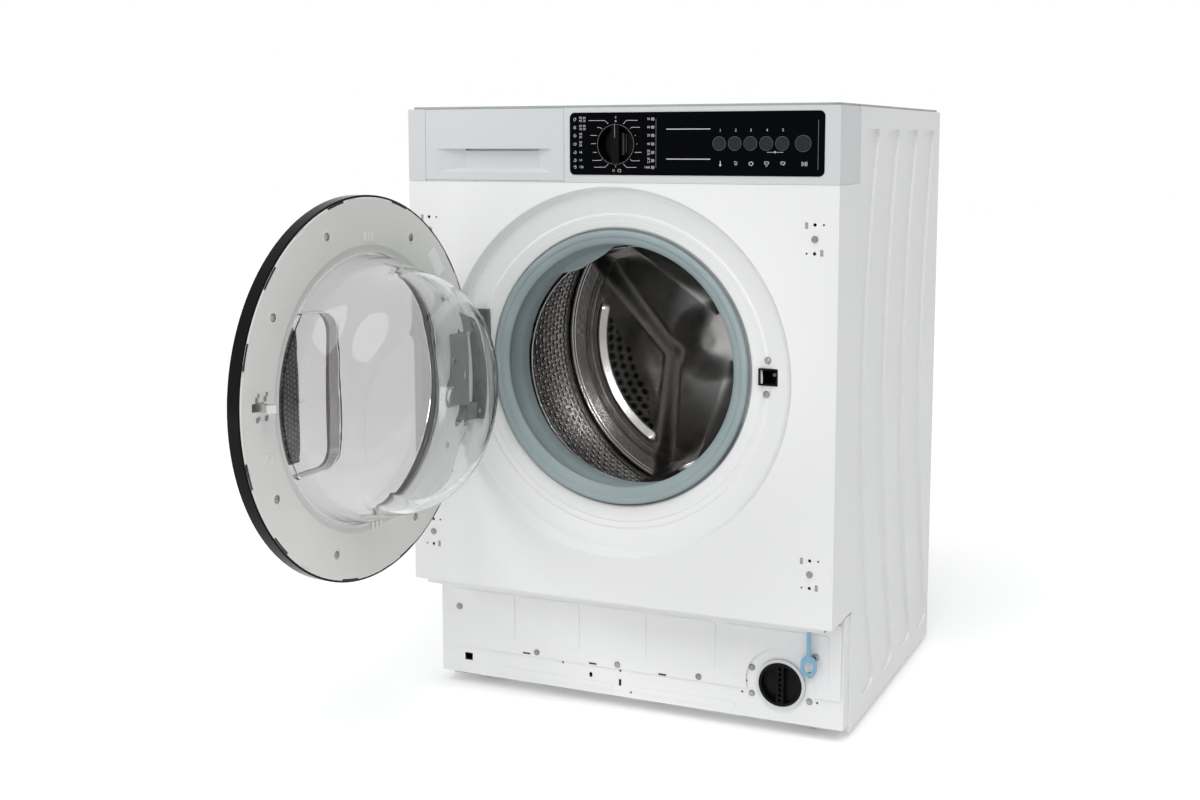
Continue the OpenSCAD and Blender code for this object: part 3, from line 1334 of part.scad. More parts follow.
knuckle_z = [[424.5, 442], [498, 523.5]];
knuckle_r = 6;
module door_hinge_arm() {
    pin = [-hinge_x, -hinge_y];
    door_pose() color([0.7, 0.71, 0.71]) difference() {
        union() {
            box([arm_x[0], arm_y[0], arm_z[0]], [arm_x[1], arm_y[1], arm_z[1]]);
            for (z = knuckle_z) translate([0, 0, z[0]]) linear_extrude(z[1] - z[0]) {
                translate(pin) circle(r = knuckle_r);
                polygon([pin + [-4, 0], [arm_x[0], arm_y[1]], [arm_x[0] + 7, arm_y[1]], [arm_x[0] + 7, 5], pin + [5, -1]]);
            }
        }
        translate([pin[0], pin[1], 400]) cylinder(r = pin_r + run, h = 150);
        for (z = arm_screw_z) into(arm_screw_x, 0, z) cylinder(r = screw_shank_r + gap, h = 12, $fn = 24);
    }
}

arm_screw_x = -190;
arm_screw_z = [450, 487];
module door_screws() {
    door_pose() color("silver") {
        for (p = door_screw_at) rear_screw([p[0], door_in - 1, p[1]]);
        for (z = arm_screw_z) rear_screw([arm_screw_x, arm_y[1], z]);
    }
}

module latch_hook() {
    tip_y = 33;
    h = hook_hole[1][1] - hook_hole[0][1] - 1;
    door_pose() color("silver") translate([hook_x, hook_pin_y, hook_hole[0][1] + 0.5]) difference() {
        union() {
            cylinder(r = 4.3, h = h);
            linear_extrude(h) polygon([
                [-3.4, -1], [-3, 12], [-3, tip_y - 1], [-1, tip_y + 1], [2, tip_y], [7, 27],
                [6.5, 25.5], [3, 25.5], [3, 12], [3.4, -1]
            ]);
        }
        translate([0, 0, -1]) cylinder(r = hook_pin_r + run, h = h + 2);
    }
}

side_panel_left();
side_panel_right();
rear_panel();
rear_service_cover();
top_cover();
top_frame();
front_panel();
base_rail();
kick_plate();
base_tray();
levelling_feet();
control_fascia();
control_glass();
control_board();
dispenser_housing();
rear_fittings();
door_lock();
hinge_bracket();
door_seal();
seal_clamp_ring();
suspension_springs();
damper_tubes();
drain_pump();
filter_housing();
cabinet_screws();
tub_front();
tub_rear();
counterweights();
drum_bearings();
wash_heater();
drive_motor();
drive_belt();
damper_rods();
dryer_fan_housing();
dryer_duct();
drum_shell();
drum_back();
drum_lifters();
drum_spider();
drum_pulley();
motor_pulley();
dryer_impeller();
door_outer_ring();
door_window_cover();
door_inner_frame();
door_glass_bowl();
door_hinge_arm();
door_screws();
latch_hook();
drawer_front();
drawer_tray();
program_knob();
option_button_1();
option_button_2();
option_button_3();
option_button_4();
option_button_5();
start_button();
filter_cap();
emergency_pull();
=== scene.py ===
import math

import bmesh
import bpy
from mathutils import Matrix, Vector


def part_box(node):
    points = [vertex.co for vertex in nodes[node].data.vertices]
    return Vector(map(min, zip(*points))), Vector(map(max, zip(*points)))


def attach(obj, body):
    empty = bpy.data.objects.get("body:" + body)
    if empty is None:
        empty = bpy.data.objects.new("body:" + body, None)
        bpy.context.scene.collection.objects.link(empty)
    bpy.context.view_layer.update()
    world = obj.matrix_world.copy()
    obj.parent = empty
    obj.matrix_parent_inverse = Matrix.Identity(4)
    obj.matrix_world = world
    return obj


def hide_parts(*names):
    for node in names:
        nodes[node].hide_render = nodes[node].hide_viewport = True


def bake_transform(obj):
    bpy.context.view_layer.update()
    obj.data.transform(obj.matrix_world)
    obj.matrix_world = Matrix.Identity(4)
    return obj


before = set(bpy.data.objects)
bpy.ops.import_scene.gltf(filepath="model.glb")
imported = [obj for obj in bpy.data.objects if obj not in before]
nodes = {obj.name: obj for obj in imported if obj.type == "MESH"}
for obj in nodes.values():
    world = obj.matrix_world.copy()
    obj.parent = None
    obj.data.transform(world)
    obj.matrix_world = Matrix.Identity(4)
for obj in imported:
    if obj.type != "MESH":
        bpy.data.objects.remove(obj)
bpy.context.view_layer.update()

# Lengths in the tables are in mm and heights are above the floor, as in the CAD. Blender's are in metres.
MM = 0.001
PI = math.pi
AXIS_Z = 475.3                    # height of the drum's and the door's axis
HINGE = (-222.5, -4.0)            # the door's hinge pin, x and y
DOOR_OPEN = math.radians(-93.5)   # the door's turn at rest, seen from above
WELD = 1e-6                       # points nearer than this are one point


# Camera

camera = bpy.data.cameras.new("camera")
camera.sensor_width = 36
camera.lens = 46.784
camera.shift_y = -0.05
camera.clip_end = 60
camera_object = bpy.data.objects.new("camera", camera)
bpy.context.collection.objects.link(camera_object)
azimuth, elevation, roll = (math.radians(d) for d in (24.3615, 7.2035, -0.0666))
camera_object.matrix_world = (
    Matrix.Translation((0.80852, -1.82114, 0.77239))
    @ Matrix.Rotation(azimuth, 4, "Z")
    @ Matrix.Rotation(PI / 2 - elevation, 4, "X")
    @ Matrix.Rotation(roll, 4, "Z")
)
bpy.context.scene.camera = camera_object


# Finishes

class Shader:
    """A node material: one Principled shader, with patterns made from the object's own coordinates."""

    def __init__(self, name, color, roughness, **sockets):
        self.name = name
        self.material = bpy.data.materials.new(name)
        self.material.use_nodes = True
        self.tree = self.material.node_tree
        self.shader = next(n for n in self.tree.nodes if n.type == "BSDF_PRINCIPLED")
        self.color = color
        self.shader.inputs["Base Color"].default_value = (*color, 1)
        self.shader.inputs["Roughness"].default_value = roughness
        for key, value in sockets.items():
            self.shader.inputs[key.replace("_", " ")].default_value = value
        self.normal = None
        self.coordinates = self.add("TexCoord").outputs["Object"]

    def add(self, kind, **settings):
        node = self.tree.nodes.new("ShaderNode" + kind)
        for key, value in settings.items():
            setattr(node, key, value)
        return node

    def put(self, socket, value):
        """Sets a socket to a number or a colour, or links it to another socket."""
        if isinstance(value, (int, float)):
            socket.default_value = value
        elif isinstance(value, tuple):
            socket.default_value = value if len(value) == len(socket.default_value) else (*value, 1)
        else:
            self.tree.links.new(value, socket)

    def math(self, operation, a, b=0.0):
        node = self.add("Math", operation=operation)
        self.put(node.inputs[0], a)
        self.put(node.inputs[1], b)
        return node.outputs[0]

    def plus(self, a, b):
        return self.math("ADD", a, b)

    def minus(self, a, b):
        return self.math("SUBTRACT", a, b)

    def times(self, a, b):
        return self.math("MULTIPLY", a, b)

    def distance(self, a, b):
        return self.math("SQRT", self.plus(self.times(a, a), self.times(b, b)))

    def between(self, value, low, high):
        return self.times(self.math("GREATER_THAN", value, low), self.math("LESS_THAN", value, high))

    def parts(self):
        node = self.add("SeparateXYZ")
        self.put(node.inputs[0], self.coordinates)
        return node.outputs

    def noise(self, scale, detail=3.0, stretch=(1, 1, 1)):
        mapping = self.add("Mapping")
        self.put(mapping.inputs["Vector"], self.coordinates)
        mapping.inputs["Scale"].default_value = stretch
        node = self.add("TexNoise")
        node.inputs["Scale"].default_value = scale
        node.inputs["Detail"].default_value = detail
        self.put(node.inputs["Vector"], mapping.outputs[0])
        return node.outputs[0]

    def spread(self, value, low, high, to_low=0.0, to_high=1.0):
        node = self.add("MapRange", clamp=True)
        for i, v in enumerate((value, low, high, to_low, to_high)):
            self.put(node.inputs[i], v)
        return node.outputs[0]

    def mix(self, factor, a, b):
        node = self.add("Mix", data_type="RGBA")
        self.put(node.inputs["Factor"], factor)
        self.put(node.inputs[6], a)
        self.put(node.inputs[7], b)
        return node.outputs[2]

    def paint(self, factor, other):
        """Covers the colour so far with another, where factor is 1."""
        socket = self.shader.inputs["Base Color"]
        before = socket.links[0].from_socket if socket.links else tuple(socket.default_value)
        self.put(socket, self.mix(factor, before, other))
        return self

    def mottle(self, scale, amount):
        """Slight changes of tone over the surface."""
        dark = tuple(c * (1 - amount) for c in self.color)
        return self.paint(self.spread(self.noise(scale), 0.35, 0.65), dark)

    def uneven(self, scale, low, high):
        """Roughness that changes from place to place."""
        self.put(self.shader.inputs["Roughness"], self.spread(self.noise(scale), 0.35, 0.65, low, high))
        return self

    def bump(self, height, strength, distance):
        node = self.add("Bump")
        node.inputs["Strength"].default_value = strength
        node.inputs["Distance"].default_value = distance
        self.put(node.inputs["Height"], height)
        if self.normal:
            self.put(node.inputs["Normal"], self.normal)
        self.normal = node.outputs[0]
        self.put(self.shader.inputs["Normal"], self.normal)
        return self

    def grain(self, scale, strength, distance, stretch=(1, 1, 1), detail=2.0):
        return self.bump(self.noise(scale, detail, stretch), strength, distance)

    def cells(self, scale, strength, distance=0.0003):
        node = self.add("TexVoronoi")
        node.inputs["Scale"].default_value = scale
        self.put(node.inputs["Vector"], self.coordinates)
        return self.bump(node.outputs["Distance"], strength, distance)


def grey(value, warm=0.0):
    return (value * (1 + warm), value, value * (1 - warm))


finishes = {}


def keep(made):
    finishes[made.name] = made.material


# Name, colour and roughness, what mottle, uneven and grain or cells take, and the shader's other sockets
FINISHES = [
    ("white_enamel", grey(0.86), 0.4,
     (1.8, 0.012), (6, 0.38, 0.43), ("grain", 170, 0.012, 0.0002), {"Specular_IOR_Level": 0.35}),
    # Brighter copy of the white enamel for the recessed plinth: painted light that offsets the shade it sits in.
    ("plinth_enamel", grey(0.88), 0.42,
     (3, 0.015), (9, 0.38, 0.45), ("grain", 160, 0.012, 0.0002), {"Specular_IOR_Level": 0.35}),
    ("fascia_plastic", (0.655, 0.67, 0.676), 0.38,
     (2.2, 0.02), (8, 0.33, 0.42), ("cells", 2200, 0.03), {}),
    ("galvanised_steel", (0.5, 0.51, 0.52), 0.4,
     (38, 0.25), (30, 0.3, 0.5), ("cells", 60, 0.05), {"Metallic": 0.9}),
    ("top_board", (0.4, 0.43, 0.425), 0.5,
     (25, 0.08), (14, 0.42, 0.56), ("grain", 900, 0.1, 0.0002), {}),
    ("black_glass", (0.0012, 0.0016, 0.0026), 0.07,
     (4, 0.2), (9, 0.05, 0.1), ("grain", 12, 0.008, 0.0004), {"Specular_IOR_Level": 0.025}),
    ("black_gloss", (0.004, 0.004, 0.0043), 0.2,
     (5, 0.2), (7, 0.13, 0.22), ("grain", 300, 0.02, 0.0002), {"Specular_IOR_Level": 0.09}),
    ("black_plastic", (0.0045, 0.005, 0.005), 0.36,
     (40, 0.25), (20, 0.3, 0.46), ("cells", 1800, 0.08), {"Specular_IOR_Level": 0.1}),
    ("knob_black", (0.0016, 0.0018, 0.002), 0.3,
     (40, 0.25), (20, 0.24, 0.38), ("cells", 1800, 0.05), {"Specular_IOR_Level": 0.1}),
    ("dark_buttons", (0.014, 0.02, 0.0225), 0.42,
     (60, 0.15), (30, 0.36, 0.5), ("cells", 3000, 0.05), {"Specular_IOR_Level": 0.2}),
    ("clip_black", grey(0.008), 0.45,
     (60, 0.25), (40, 0.4, 0.55), ("grain", 500, 0.08, 0.0001), {}),
    # Lighter glossy grey for the knob's flank strips and the buttons' rings: painted highlight.
    ("painted_highlight_grey", grey(0.16), 0.2,
     (60, 0.1), (40, 0.16, 0.26), ("grain", 500, 0.03, 0.0001), {}),
    ("grey_frame", (0.83, 0.836, 0.806), 0.42,
     (7, 0.04), (14, 0.38, 0.48), ("cells", 1500, 0.06), {}),
    ("pale_frame", (0.96, 0.965, 0.94), 0.4,
     (30, 0.03), (20, 0.36, 0.46), ("grain", 400, 0.04, 0.0001), {}),
    ("seal_rubber", (0.31, 0.378, 0.39), 0.5,
     (9, 0.1), (16, 0.42, 0.6), ("grain", 850, 0.12, 0.0002), {"Specular_IOR_Level": 0.4}),
    ("belt_rubber", grey(0.02), 0.7,
     (80, 0.3), (30, 0.6, 0.8), ("grain", 900, 0.2, 0.0002), {}),
    ("bright_steel", grey(0.66, 0.01), 0.24,
     (60, 0.1), (45, 0.18, 0.32), ("grain", 800, 0.05, 0.0001), {"Metallic": 1}),
    ("dull_steel", grey(0.3), 0.36,
     (60, 0.15), (45, 0.3, 0.45), ("grain", 500, 0.08, 0.0001), {"Metallic": 0.9}),
    ("screw_steel", (0.36, 0.365, 0.35), 0.3,
     (90, 0.3), (60, 0.22, 0.4), ("grain", 700, 0.1, 0.0001), {"Metallic": 0.95}),
    ("motor_steel", (0.42, 0.43, 0.44), 0.42,
     (28, 0.15), (26, 0.34, 0.5), ("grain", 300, 0.1, 0.0003, (1, 30, 1)), {"Metallic": 0.8}),
    ("hinge_casting", (0.17, 0.2, 0.185), 0.42,
     (45, 0.2), (25, 0.34, 0.52), ("grain", 500, 0.14, 0.0003), {"Metallic": 0.5}),
    ("light_grey_metal", (0.47, 0.485, 0.475), 0.38,
     (40, 0.1), (28, 0.3, 0.46), ("grain", 520, 0.08, 0.0002), {"Metallic": 0.6}),
    ("cast_aluminium", (0.52, 0.53, 0.53), 0.45,
     (30, 0.14), (22, 0.38, 0.54), ("grain", 420, 0.2, 0.0004), {"Metallic": 0.85}),
    ("concrete", (0.36, 0.35, 0.33), 0.86,
     (22, 0.2), (30, 0.78, 0.92), ("grain", 160, 0.4, 0.0008, (1, 1, 1), 6), {}),
    ("tub_plastic", (0.62, 0.61, 0.57), 0.5,
     (16, 0.08), (14, 0.44, 0.58), ("grain", 300, 0.08, 0.0003), {}),
    ("duct_plastic", (0.28, 0.29, 0.3), 0.48,
     (20, 0.1), (18, 0.42, 0.56), ("grain", 380, 0.08, 0.0003), {}),
    ("tray_plastic", (0.7, 0.72, 0.73), 0.4,
     (12, 0.03), (14, 0.34, 0.46), ("cells", 1400, 0.05), {}),
    ("circuit_board", (0.03, 0.16, 0.07), 0.4,
     (130, 0.35), (60, 0.32, 0.5), ("cells", 400, 0.15), {}),
    ("pull_blue", (0.225, 0.49, 0.66), 0.42,
     (40, 0.1), (24, 0.36, 0.5), ("grain", 700, 0.06, 0.0002), {"Subsurface_Weight": 0.1}),
    ("pale_catch", (0.58, 0.56, 0.49), 0.45,
     (40, 0.08), (24, 0.4, 0.52), ("grain", 700, 0.05, 0.0002), {}),
    ("white_print", grey(0.62), 0.5,
     (90, 0.1), (50, 0.45, 0.6), ("grain", 900, 0.05, 0.0001), {}),
    ("grey_print", grey(0.24), 0.5,
     (90, 0.1), (50, 0.45, 0.6), ("grain", 900, 0.05, 0.0001), {}),
    ("sticker", (0.96, 0.965, 0.965), 0.3,
     (30, 0.03), (20, 0.25, 0.36), ("grain", 400, 0.03, 0.0001), {}),
]
for name, color, roughness, mottle, uneven, (relief, *depth), sockets in FINISHES:
    plain = Shader(name, color, roughness, **sockets).mottle(*mottle).uneven(*uneven)
    keep(getattr(plain, relief)(*depth))

GLASSES = [("clear_glass", (0.955, 0.972, 0.968), 0.0), ("tinted_cover", (0.58, 0.555, 0.563), 0.01)]
for name, color, roughness in GLASSES:
    clear = Shader(name, color, roughness, IOR=1.46, Transmission_Weight=1.0)
    keep(clear.uneven(5, roughness, roughness + 0.012).grain(9, 0.006, 0.0006))


def polar(made):
    """The angle round the drum's axis, the depth, and the distance from the axis, in metres."""
    x, y, z = made.parts()
    z = made.minus(z, AXIS_Z * MM)
    return made.math("ARCTAN2", z, x), y, made.distance(x, z)


def dots(made, u, v, pitch, radius):
    """1 in the middle of each hole of a staggered pattern, falling to 0 at its edge."""
    pitch_u, pitch_v = pitch
    row = made.math("DIVIDE", v, pitch_v)
    shift = made.times(made.math("MODULO", made.math("FLOOR", row), 2.0), 0.5)
    a = made.minus(made.math("FRACT", made.plus(made.math("DIVIDE", u, pitch_u), shift)), 0.5)
    b = made.minus(made.math("FRACT", row), 0.5)
    far = made.distance(made.times(a, pitch_u), made.times(b, pitch_v))
    return made.spread(far, radius * 0.55, radius, 1.0, 0.0)


def drum_finish(name, perforated):
    """The drum's steel, with the shell's pits, and a near-black spot in each pit as painted shade of its hole.
    """
    made = Shader(name, (0.46, 0.45, 0.44), 0.22, Metallic=1).mottle(16, 0.14).uneven(12, 0.14, 0.28)
    if perforated:
        shell_r, pitch, pit_r, hole_r = 0.239, (0.0135, 0.0125), 0.0052, 0.0032
        angle, y, _ = polar(made)
        along = made.times(angle, shell_r)
        inside = made.times(made.spread(y, 0.124, 0.127), made.spread(y, 0.357, 0.360, 1.0, 0.0))
        made.bump(made.times(dots(made, along, y, pitch, pit_r), inside), 1.0, -0.004)
        # Near-black spots in the pits: painted shade standing in for the holes' openings.
        made.paint(made.times(dots(made, along, y, pitch, hole_r), inside), grey(0.01))
    keep(made.grain(90, 0.05, 0.0006, (1, 0.15, 1)))


drum_finish("drum_steel", False)
drum_finish("drum_perforated", True)


def back_finish():
    """The drum's back: three fields of air holes between the arms, each a bumped rim with a near-black spot as
    painted shade of the opening, and a dotted ring.
    """
    field_angle, field_step, field_r, field_depth = math.radians(83), math.radians(120), 0.1317, 0.0438
    pitch, rim_r, hole_r = (0.0142, 0.0146), 0.0058, 0.0036
    ring_r, pip_pitch, pip_r = 0.196, (0.005, 0.003), 0.0013
    # A darker copy of the drum's steel for the deep back of the drum: painted shade.
    made = Shader("drum_back_steel_painted_shade", (0.4, 0.388, 0.378), 0.17, Metallic=1)
    made.mottle(16, 0.14).uneven(12, 0.13, 0.26)
    angle, _, r = polar(made)
    turn = made.math("FLOORED_MODULO", made.plus(angle, field_step / 2 - field_angle), field_step)
    turn = made.minus(turn, field_step / 2)
    out = made.minus(r, field_r)
    half_width = made.plus(made.times(out, 8.0), 0.27)
    inside = made.between(out, 0.0, field_depth)
    inside = made.times(inside, made.math("LESS_THAN", made.math("ABSOLUTE", turn), half_width))
    along = made.times(turn, r)
    made.bump(made.times(dots(made, along, out, pitch, rim_r), inside), 1.0, -0.004)
    # Near-black spots in the holes: painted shade standing in for the openings.
    holes = made.times(dots(made, along, out, pitch, hole_r), inside)
    pips = dots(made, made.times(angle, ring_r), made.minus(r, 0.19), pip_pitch, pip_r)
    made.bump(made.times(pips, made.between(r, ring_r - 0.003, ring_r + 0.003)), 0.7, -0.001)
    keep(made.grain(60, 0.05, 0.0006, (0.2, 1, 1)).paint(holes, grey(0.008)))


back_finish()


def mesh_grip_finish():
    """The fine mesh in the door's finger pocket."""
    made = Shader("mesh_grip", grey(0.012), 0.5)
    x, y, z = made.parts()
    weave = dots(made, z, made.plus(x, y), (0.0062, 0.0056), 0.0026)
    keep(made.uneven(30, 0.4, 0.6).bump(weave, 0.6, -0.0012).paint(weave, grey(0.5)))


mesh_grip_finish()


def hatch_finish():
    """Fine slanting lines."""
    made = Shader("hatch", grey(0.52), 0.4)
    x, _, z = made.parts()
    lines = made.spread(made.math("SINE", made.times(made.plus(x, z), 5200.0)), -0.2, 0.5)
    keep(made.paint(lines, grey(0.16)).uneven(60, 0.34, 0.5).bump(lines, 0.5, -0.0004))


hatch_finish()


# World, lamps and floor

def seen_directly(tree):
    """1 for the rays of the camera, of reflections and of glass."""
    path = tree.nodes.new("ShaderNodeLightPath")
    seen = path.outputs["Is Camera Ray"]
    for kind in ("Is Glossy Ray", "Is Transmission Ray"):
        either = tree.nodes.new("ShaderNodeMath")
        either.operation = "MAXIMUM"
        tree.links.new(seen, either.inputs[0])
        tree.links.new(path.outputs[kind], either.inputs[1])
        seen = either.outputs[0]
    return seen


def studio_world():
    """White where the camera, a reflection or glass looks, and softer as a light."""
    world = bpy.data.worlds.new("studio")
    world.use_nodes = True
    tree = world.node_tree
    tree.nodes.clear()
    mix = tree.nodes.new("ShaderNodeMixShader")
    tree.links.new(seen_directly(tree), mix.inputs[0])
    for slot, color, strength in ((1, (0.97, 0.985, 1, 1), 0.36), (2, (1, 1, 1, 1), 1.0)):
        background = tree.nodes.new("ShaderNodeBackground")
        background.inputs["Color"].default_value = color
        background.inputs["Strength"].default_value = strength
        tree.links.new(background.outputs[0], mix.inputs[slot])
    output = tree.nodes.new("ShaderNodeOutputWorld")
    tree.links.new(mix.outputs[0], output.inputs[0])
    bpy.context.scene.world = world


bpy.context.scene.view_settings.view_transform = "Standard"
studio_world()


def lamp(name, kind, energy, place, aim, **settings):
    data = bpy.data.lights.new(name, kind)
    data.energy = energy
    for key, value in settings.items():
        setattr(data, key, value)
    item = bpy.data.objects.new(name, data)
    item.location = place
    item.rotation_euler = (Vector(aim) - Vector(place)).to_track_quat("-Z", "Y").to_euler()
    bpy.context.collection.objects.link(item)
    return item


sun = lamp("sun", "SUN", 1.7, (1.0, -2.7, 4.6), (0, 0, 0), angle=math.radians(50))
left_box = lamp("left_box", "AREA", 31, (-2.6, -2.3, 1.3), (0, 0, 0.45),
                shape="RECTANGLE", size=1.0, size_y=1.6)
for item in (sun, left_box):
    item.visible_glossy = False
lamp("drum_lamp", "SPOT", 88, (0.62, -2.2, 1.0), (-0.01, 0.2, 0.455),
     spot_size=math.radians(8), spot_blend=0.7, shadow_soft_size=0.16)


def mesh_object(name, bm, material, body, smooth):
    data = bpy.data.meshes.new(name)
    bm.to_mesh(data)
    bm.free()
    for polygon in data.polygons:
        polygon.use_smooth = smooth
    data.materials.append(material)
    item = bpy.data.objects.new(name, data)
    bpy.context.collection.objects.link(item)
    if body:
        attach(item, body)
    return item


def piece(name, bm, finish, body, smooth=True):
    """A piece of the visual model, with its faces turned outwards."""
    bmesh.ops.recalc_face_normals(bm, faces=bm.faces)
    return mesh_object(name, bm, finishes[finish], body, smooth)


def floor():
    """A pale floor that is a little whiter to the eye than as a light, so that only shadows show on it."""
    bm = bmesh.new()
    bmesh.ops.create_grid(bm, x_segments=8, y_segments=8, size=14)
    made = Shader("floor", grey(0.97), 0.9, Specular_IOR_Level=0.0).mottle(0.6, 0.004)
    made.shader.inputs["Emission Color"].default_value = (1, 1, 1, 1)
    made.put(made.shader.inputs["Emission Strength"], made.times(seen_directly(made.tree), 0.24))
    mesh_object("floor", bm, made.material, None, False)


floor()


# The CAD's nodes and their finishes

FINISH_NODES = {
    "white_enamel": "side_panel_left side_panel_right front_panel",
    "plinth_enamel": "base_rail kick_plate",
    "galvanised_steel": "rear_panel rear_service_cover top_frame base_tray dryer_fan_housing",
    "top_board": "top_cover",
    "fascia_plastic": "control_fascia drawer_front",
    "black_glass": "control_glass",
    "black_gloss": "door_outer_ring",
    "black_plastic": "levelling_feet door_lock filter_cap",
    "knob_black": "program_knob",
    "dark_buttons": "option_button_1 option_button_2 option_button_3 option_button_4 option_button_5"
                    " start_button",
    "circuit_board": "control_board",
    "tray_plastic": "drawer_tray filter_housing",
    "tub_plastic": "dispenser_housing tub_front tub_rear",
    "duct_plastic": "rear_fittings drain_pump damper_tubes dryer_impeller dryer_duct",
    "pull_blue": "emergency_pull",
    "hinge_casting": "hinge_bracket",
    "light_grey_metal": "door_hinge_arm",
    "screw_steel": "cabinet_screws door_screws",
    "bright_steel": "drum_bearings wash_heater motor_pulley suspension_springs damper_rods latch_hook"
                    " seal_clamp_ring",
    "motor_steel": "drive_motor",
    "cast_aluminium": "drum_pulley drum_spider",
    "concrete": "counterweights",
    "belt_rubber": "drive_belt",
    "seal_rubber": "door_seal",
    "drum_perforated": "drum_shell",
    "drum_steel": "drum_back drum_lifters",
    "tinted_cover": "door_window_cover",
    "grey_frame": "door_inner_frame",
    "clear_glass": "door_glass_bowl",
}
NODE_FINISH = {node: finish for finish, names in FINISH_NODES.items() for node in names.split()}
for key, item in nodes.items():
    item.data.materials.clear()
    item.data.materials.append(finishes[NODE_FINISH[key]])


# Shared mesh helpers

def smooth_line(points, steps):
    """A smooth line through the points of a profile."""
    out = []
    last = len(points) - 1
    for i in range(last):
        p0, p1, p2, p3 = (Vector(points[min(max(k, 0), last)]) for k in (i - 1, i, i + 1, i + 2))
        for k in range(steps):
            t = k / steps
            out.append(0.5 * (2 * p1 + (p2 - p0) * t + (2 * p0 - 5 * p1 + 4 * p2 - p3) * t * t
                              + (3 * p1 - p0 - 3 * p2 + p3) * t ** 3))
    return out + [Vector(points[last])]


def ease(value, low, high):
    """0 up to low and 1 from high on, with a soft start and end."""
    t = min(max((value - low) / (high - low), 0), 1)
    return t * t * (3 - 2 * t)


def turns(count):
    """Angles in radians, evenly spread over a full turn."""
    return [2 * PI * k / count for k in range(count)]


def on_circle(r, degrees, x=0, z=AXIS_Z):
    """A point of a circle in X and Z."""
    a = math.radians(degrees)
    return x + r * math.cos(a), z + r * math.sin(a)


def around(r, y, angle):
    """A point at a radius, depth and angle (in radians) about the drum's axis, in metres."""
    return Vector((r * math.cos(angle), y, AXIS_Z + r * math.sin(angle))) * MM


def raised(r, y, lift, angle):
    """The same, with the circle's centre lifted above the axis."""
    return around(r, y, angle) + Vector((0, 0, lift * MM))


def hoop(x, y, z, r, count):
    """Points of a circle about a place, in metres."""
    return [Vector((x + r * math.cos(t), y, z + r * math.sin(t))) * MM for t in turns(count)]


def skin(bm, rows):
    """Faces between neighbouring rows of points. Each row closes on itself."""
    made = [[bm.verts.new(p) for p in row] for row in rows]
    for a, b in zip(made, made[1:]):
        n = len(a)
        for k in range(n):
            m = (k + 1) % n
            bm.faces.new((a[k], b[k], b[m], a[m]))
    return made


def close_ends(bm, made):
    bm.faces.new(made[0])
    bm.faces.new(reversed(made[-1]))


def neighbours(points, i, closed):
    """The points before and after one of a line."""
    last = len(points) - 1
    ahead = points[(i + 1) % len(points)] if closed or i < last else points[i]
    behind = points[i - 1] if closed or i > 0 else points[i]
    return behind, ahead


def tube(bm, path, radius, sides=8, closed=False):
    """A round wire along a path, both in metres."""
    rows = []
    side = None
    for i, p in enumerate(path):
        behind, ahead = neighbours(path, i, closed)
        along = (ahead - behind).normalized()
        if side is None:
            side = along.orthogonal().normalized()
        side = (side - along * side.dot(along)).normalized()
        up = along.cross(side)
        rows.append([p + radius * (math.cos(t) * side + math.sin(t) * up) for t in turns(sides)])
    if closed:
        skin(bm, rows + rows[:1])
    else:
        close_ends(bm, skin(bm, rows))


def wheel(bm, loop, count):
    """A closed profile, with the lift of each point as its third number, swept round the drum's axis."""
    rows = [[raised(p.x, p.y, p.z, a) for p in loop] for a in turns(count)]
    skin(bm, rows + rows[:1])
    bmesh.ops.remove_doubles(bm, verts=bm.verts, dist=WELD)


def prism(bm, outline, y0, y1, place=None):
    """A flat plate: an outline in X and Z with a thickness from y0 to y1."""
    rows = [[Vector((x, y, z)) * MM for x, z in outline] for y in (y0, y1)]
    if place:
        rows = [[place @ p for p in row] for row in rows]
    close_ends(bm, skin(bm, rows))


def soft_rectangle(x0, z0, x1, z1, r, steps=6):
    """The outline of a rectangle with round corners."""
    corners = ((x1 - r, z1 - r, 0), (x0 + r, z1 - r, 90), (x0 + r, z0 + r, 180), (x1 - r, z0 + r, 270))
    return [on_circle(r, start + 90 * k / steps, x, z) for x, z, start in corners for k in range(steps + 1)]


def plate(bm, x, z, half_x, half_z, corner, y0, y1, place=None, steps=6):
    """A flat plate with round corners about a centre."""
    prism(bm, soft_rectangle(x - half_x, z - half_z, x + half_x, z + half_z, corner, steps), y0, y1, place)


# Door: glass bowl, finger grip, a blank label and the details of its inner frame

DOOR = (Matrix.Translation((HINGE[0] * MM, HINGE[1] * MM, 0)) @ Matrix.Rotation(DOOR_OPEN, 4, "Z")
        @ Matrix.Translation((-HINGE[0] * MM, -HINGE[1] * MM, 0)))
FRAME_Y = 9.02   # just in front of the inner frame's face

# Radius and depth of the bowl's outside
BOWL = [(171, 1.7), (171, 5.0), (167.5, 5.2), (164.2, 6.0), (163, 9.5), (161.8, 19), (160, 30.1), (155.5, 45),
        (150.3, 58.5), (147.6, 70), (144.5, 83), (138.5, 97.3), (131, 108.6), (120, 120), (107, 128.2),
        (91, 132), (70, 133), (40, 133.2), (12, 133.2)]
BOWL_FLANGE = 12      # the bowl is round up to this depth
FACET_BLEND = 1.6     # roundness of the edge where the slanting facet cuts the bowl


def bowl_depth(x, y, z):
    """The bowl's depth at a place, cut by its slanting facet."""
    if y <= BOWL_FLANGE:
        return y
    slant = 133 - (0.25 * (x - 31) - 0.10 * (AXIS_Z + z - 515)) / 0.963
    gap = (slant - y) / FACET_BLEND
    return y - FACET_BLEND * math.log1p(math.exp(-gap)) if gap > -30 else slant


def glass_bowl():
    bm = bmesh.new()
    rows = []
    for r, y in smooth_line(BOWL, 5):
        rows.append([DOOR @ around(r, bowl_depth(r * math.cos(a), y, r * math.sin(a)), a) for a in turns(192)])
    made = skin(bm, rows)
    bm.faces.new(made[-1])
    item = piece("glass_bowl", bm, "clear_glass", "door")
    shell = item.modifiers.new("shell", "SOLIDIFY")
    shell.thickness = 0.0048
    shell.offset = -1
    shell.use_even_offset = True
    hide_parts("door_glass_bowl")


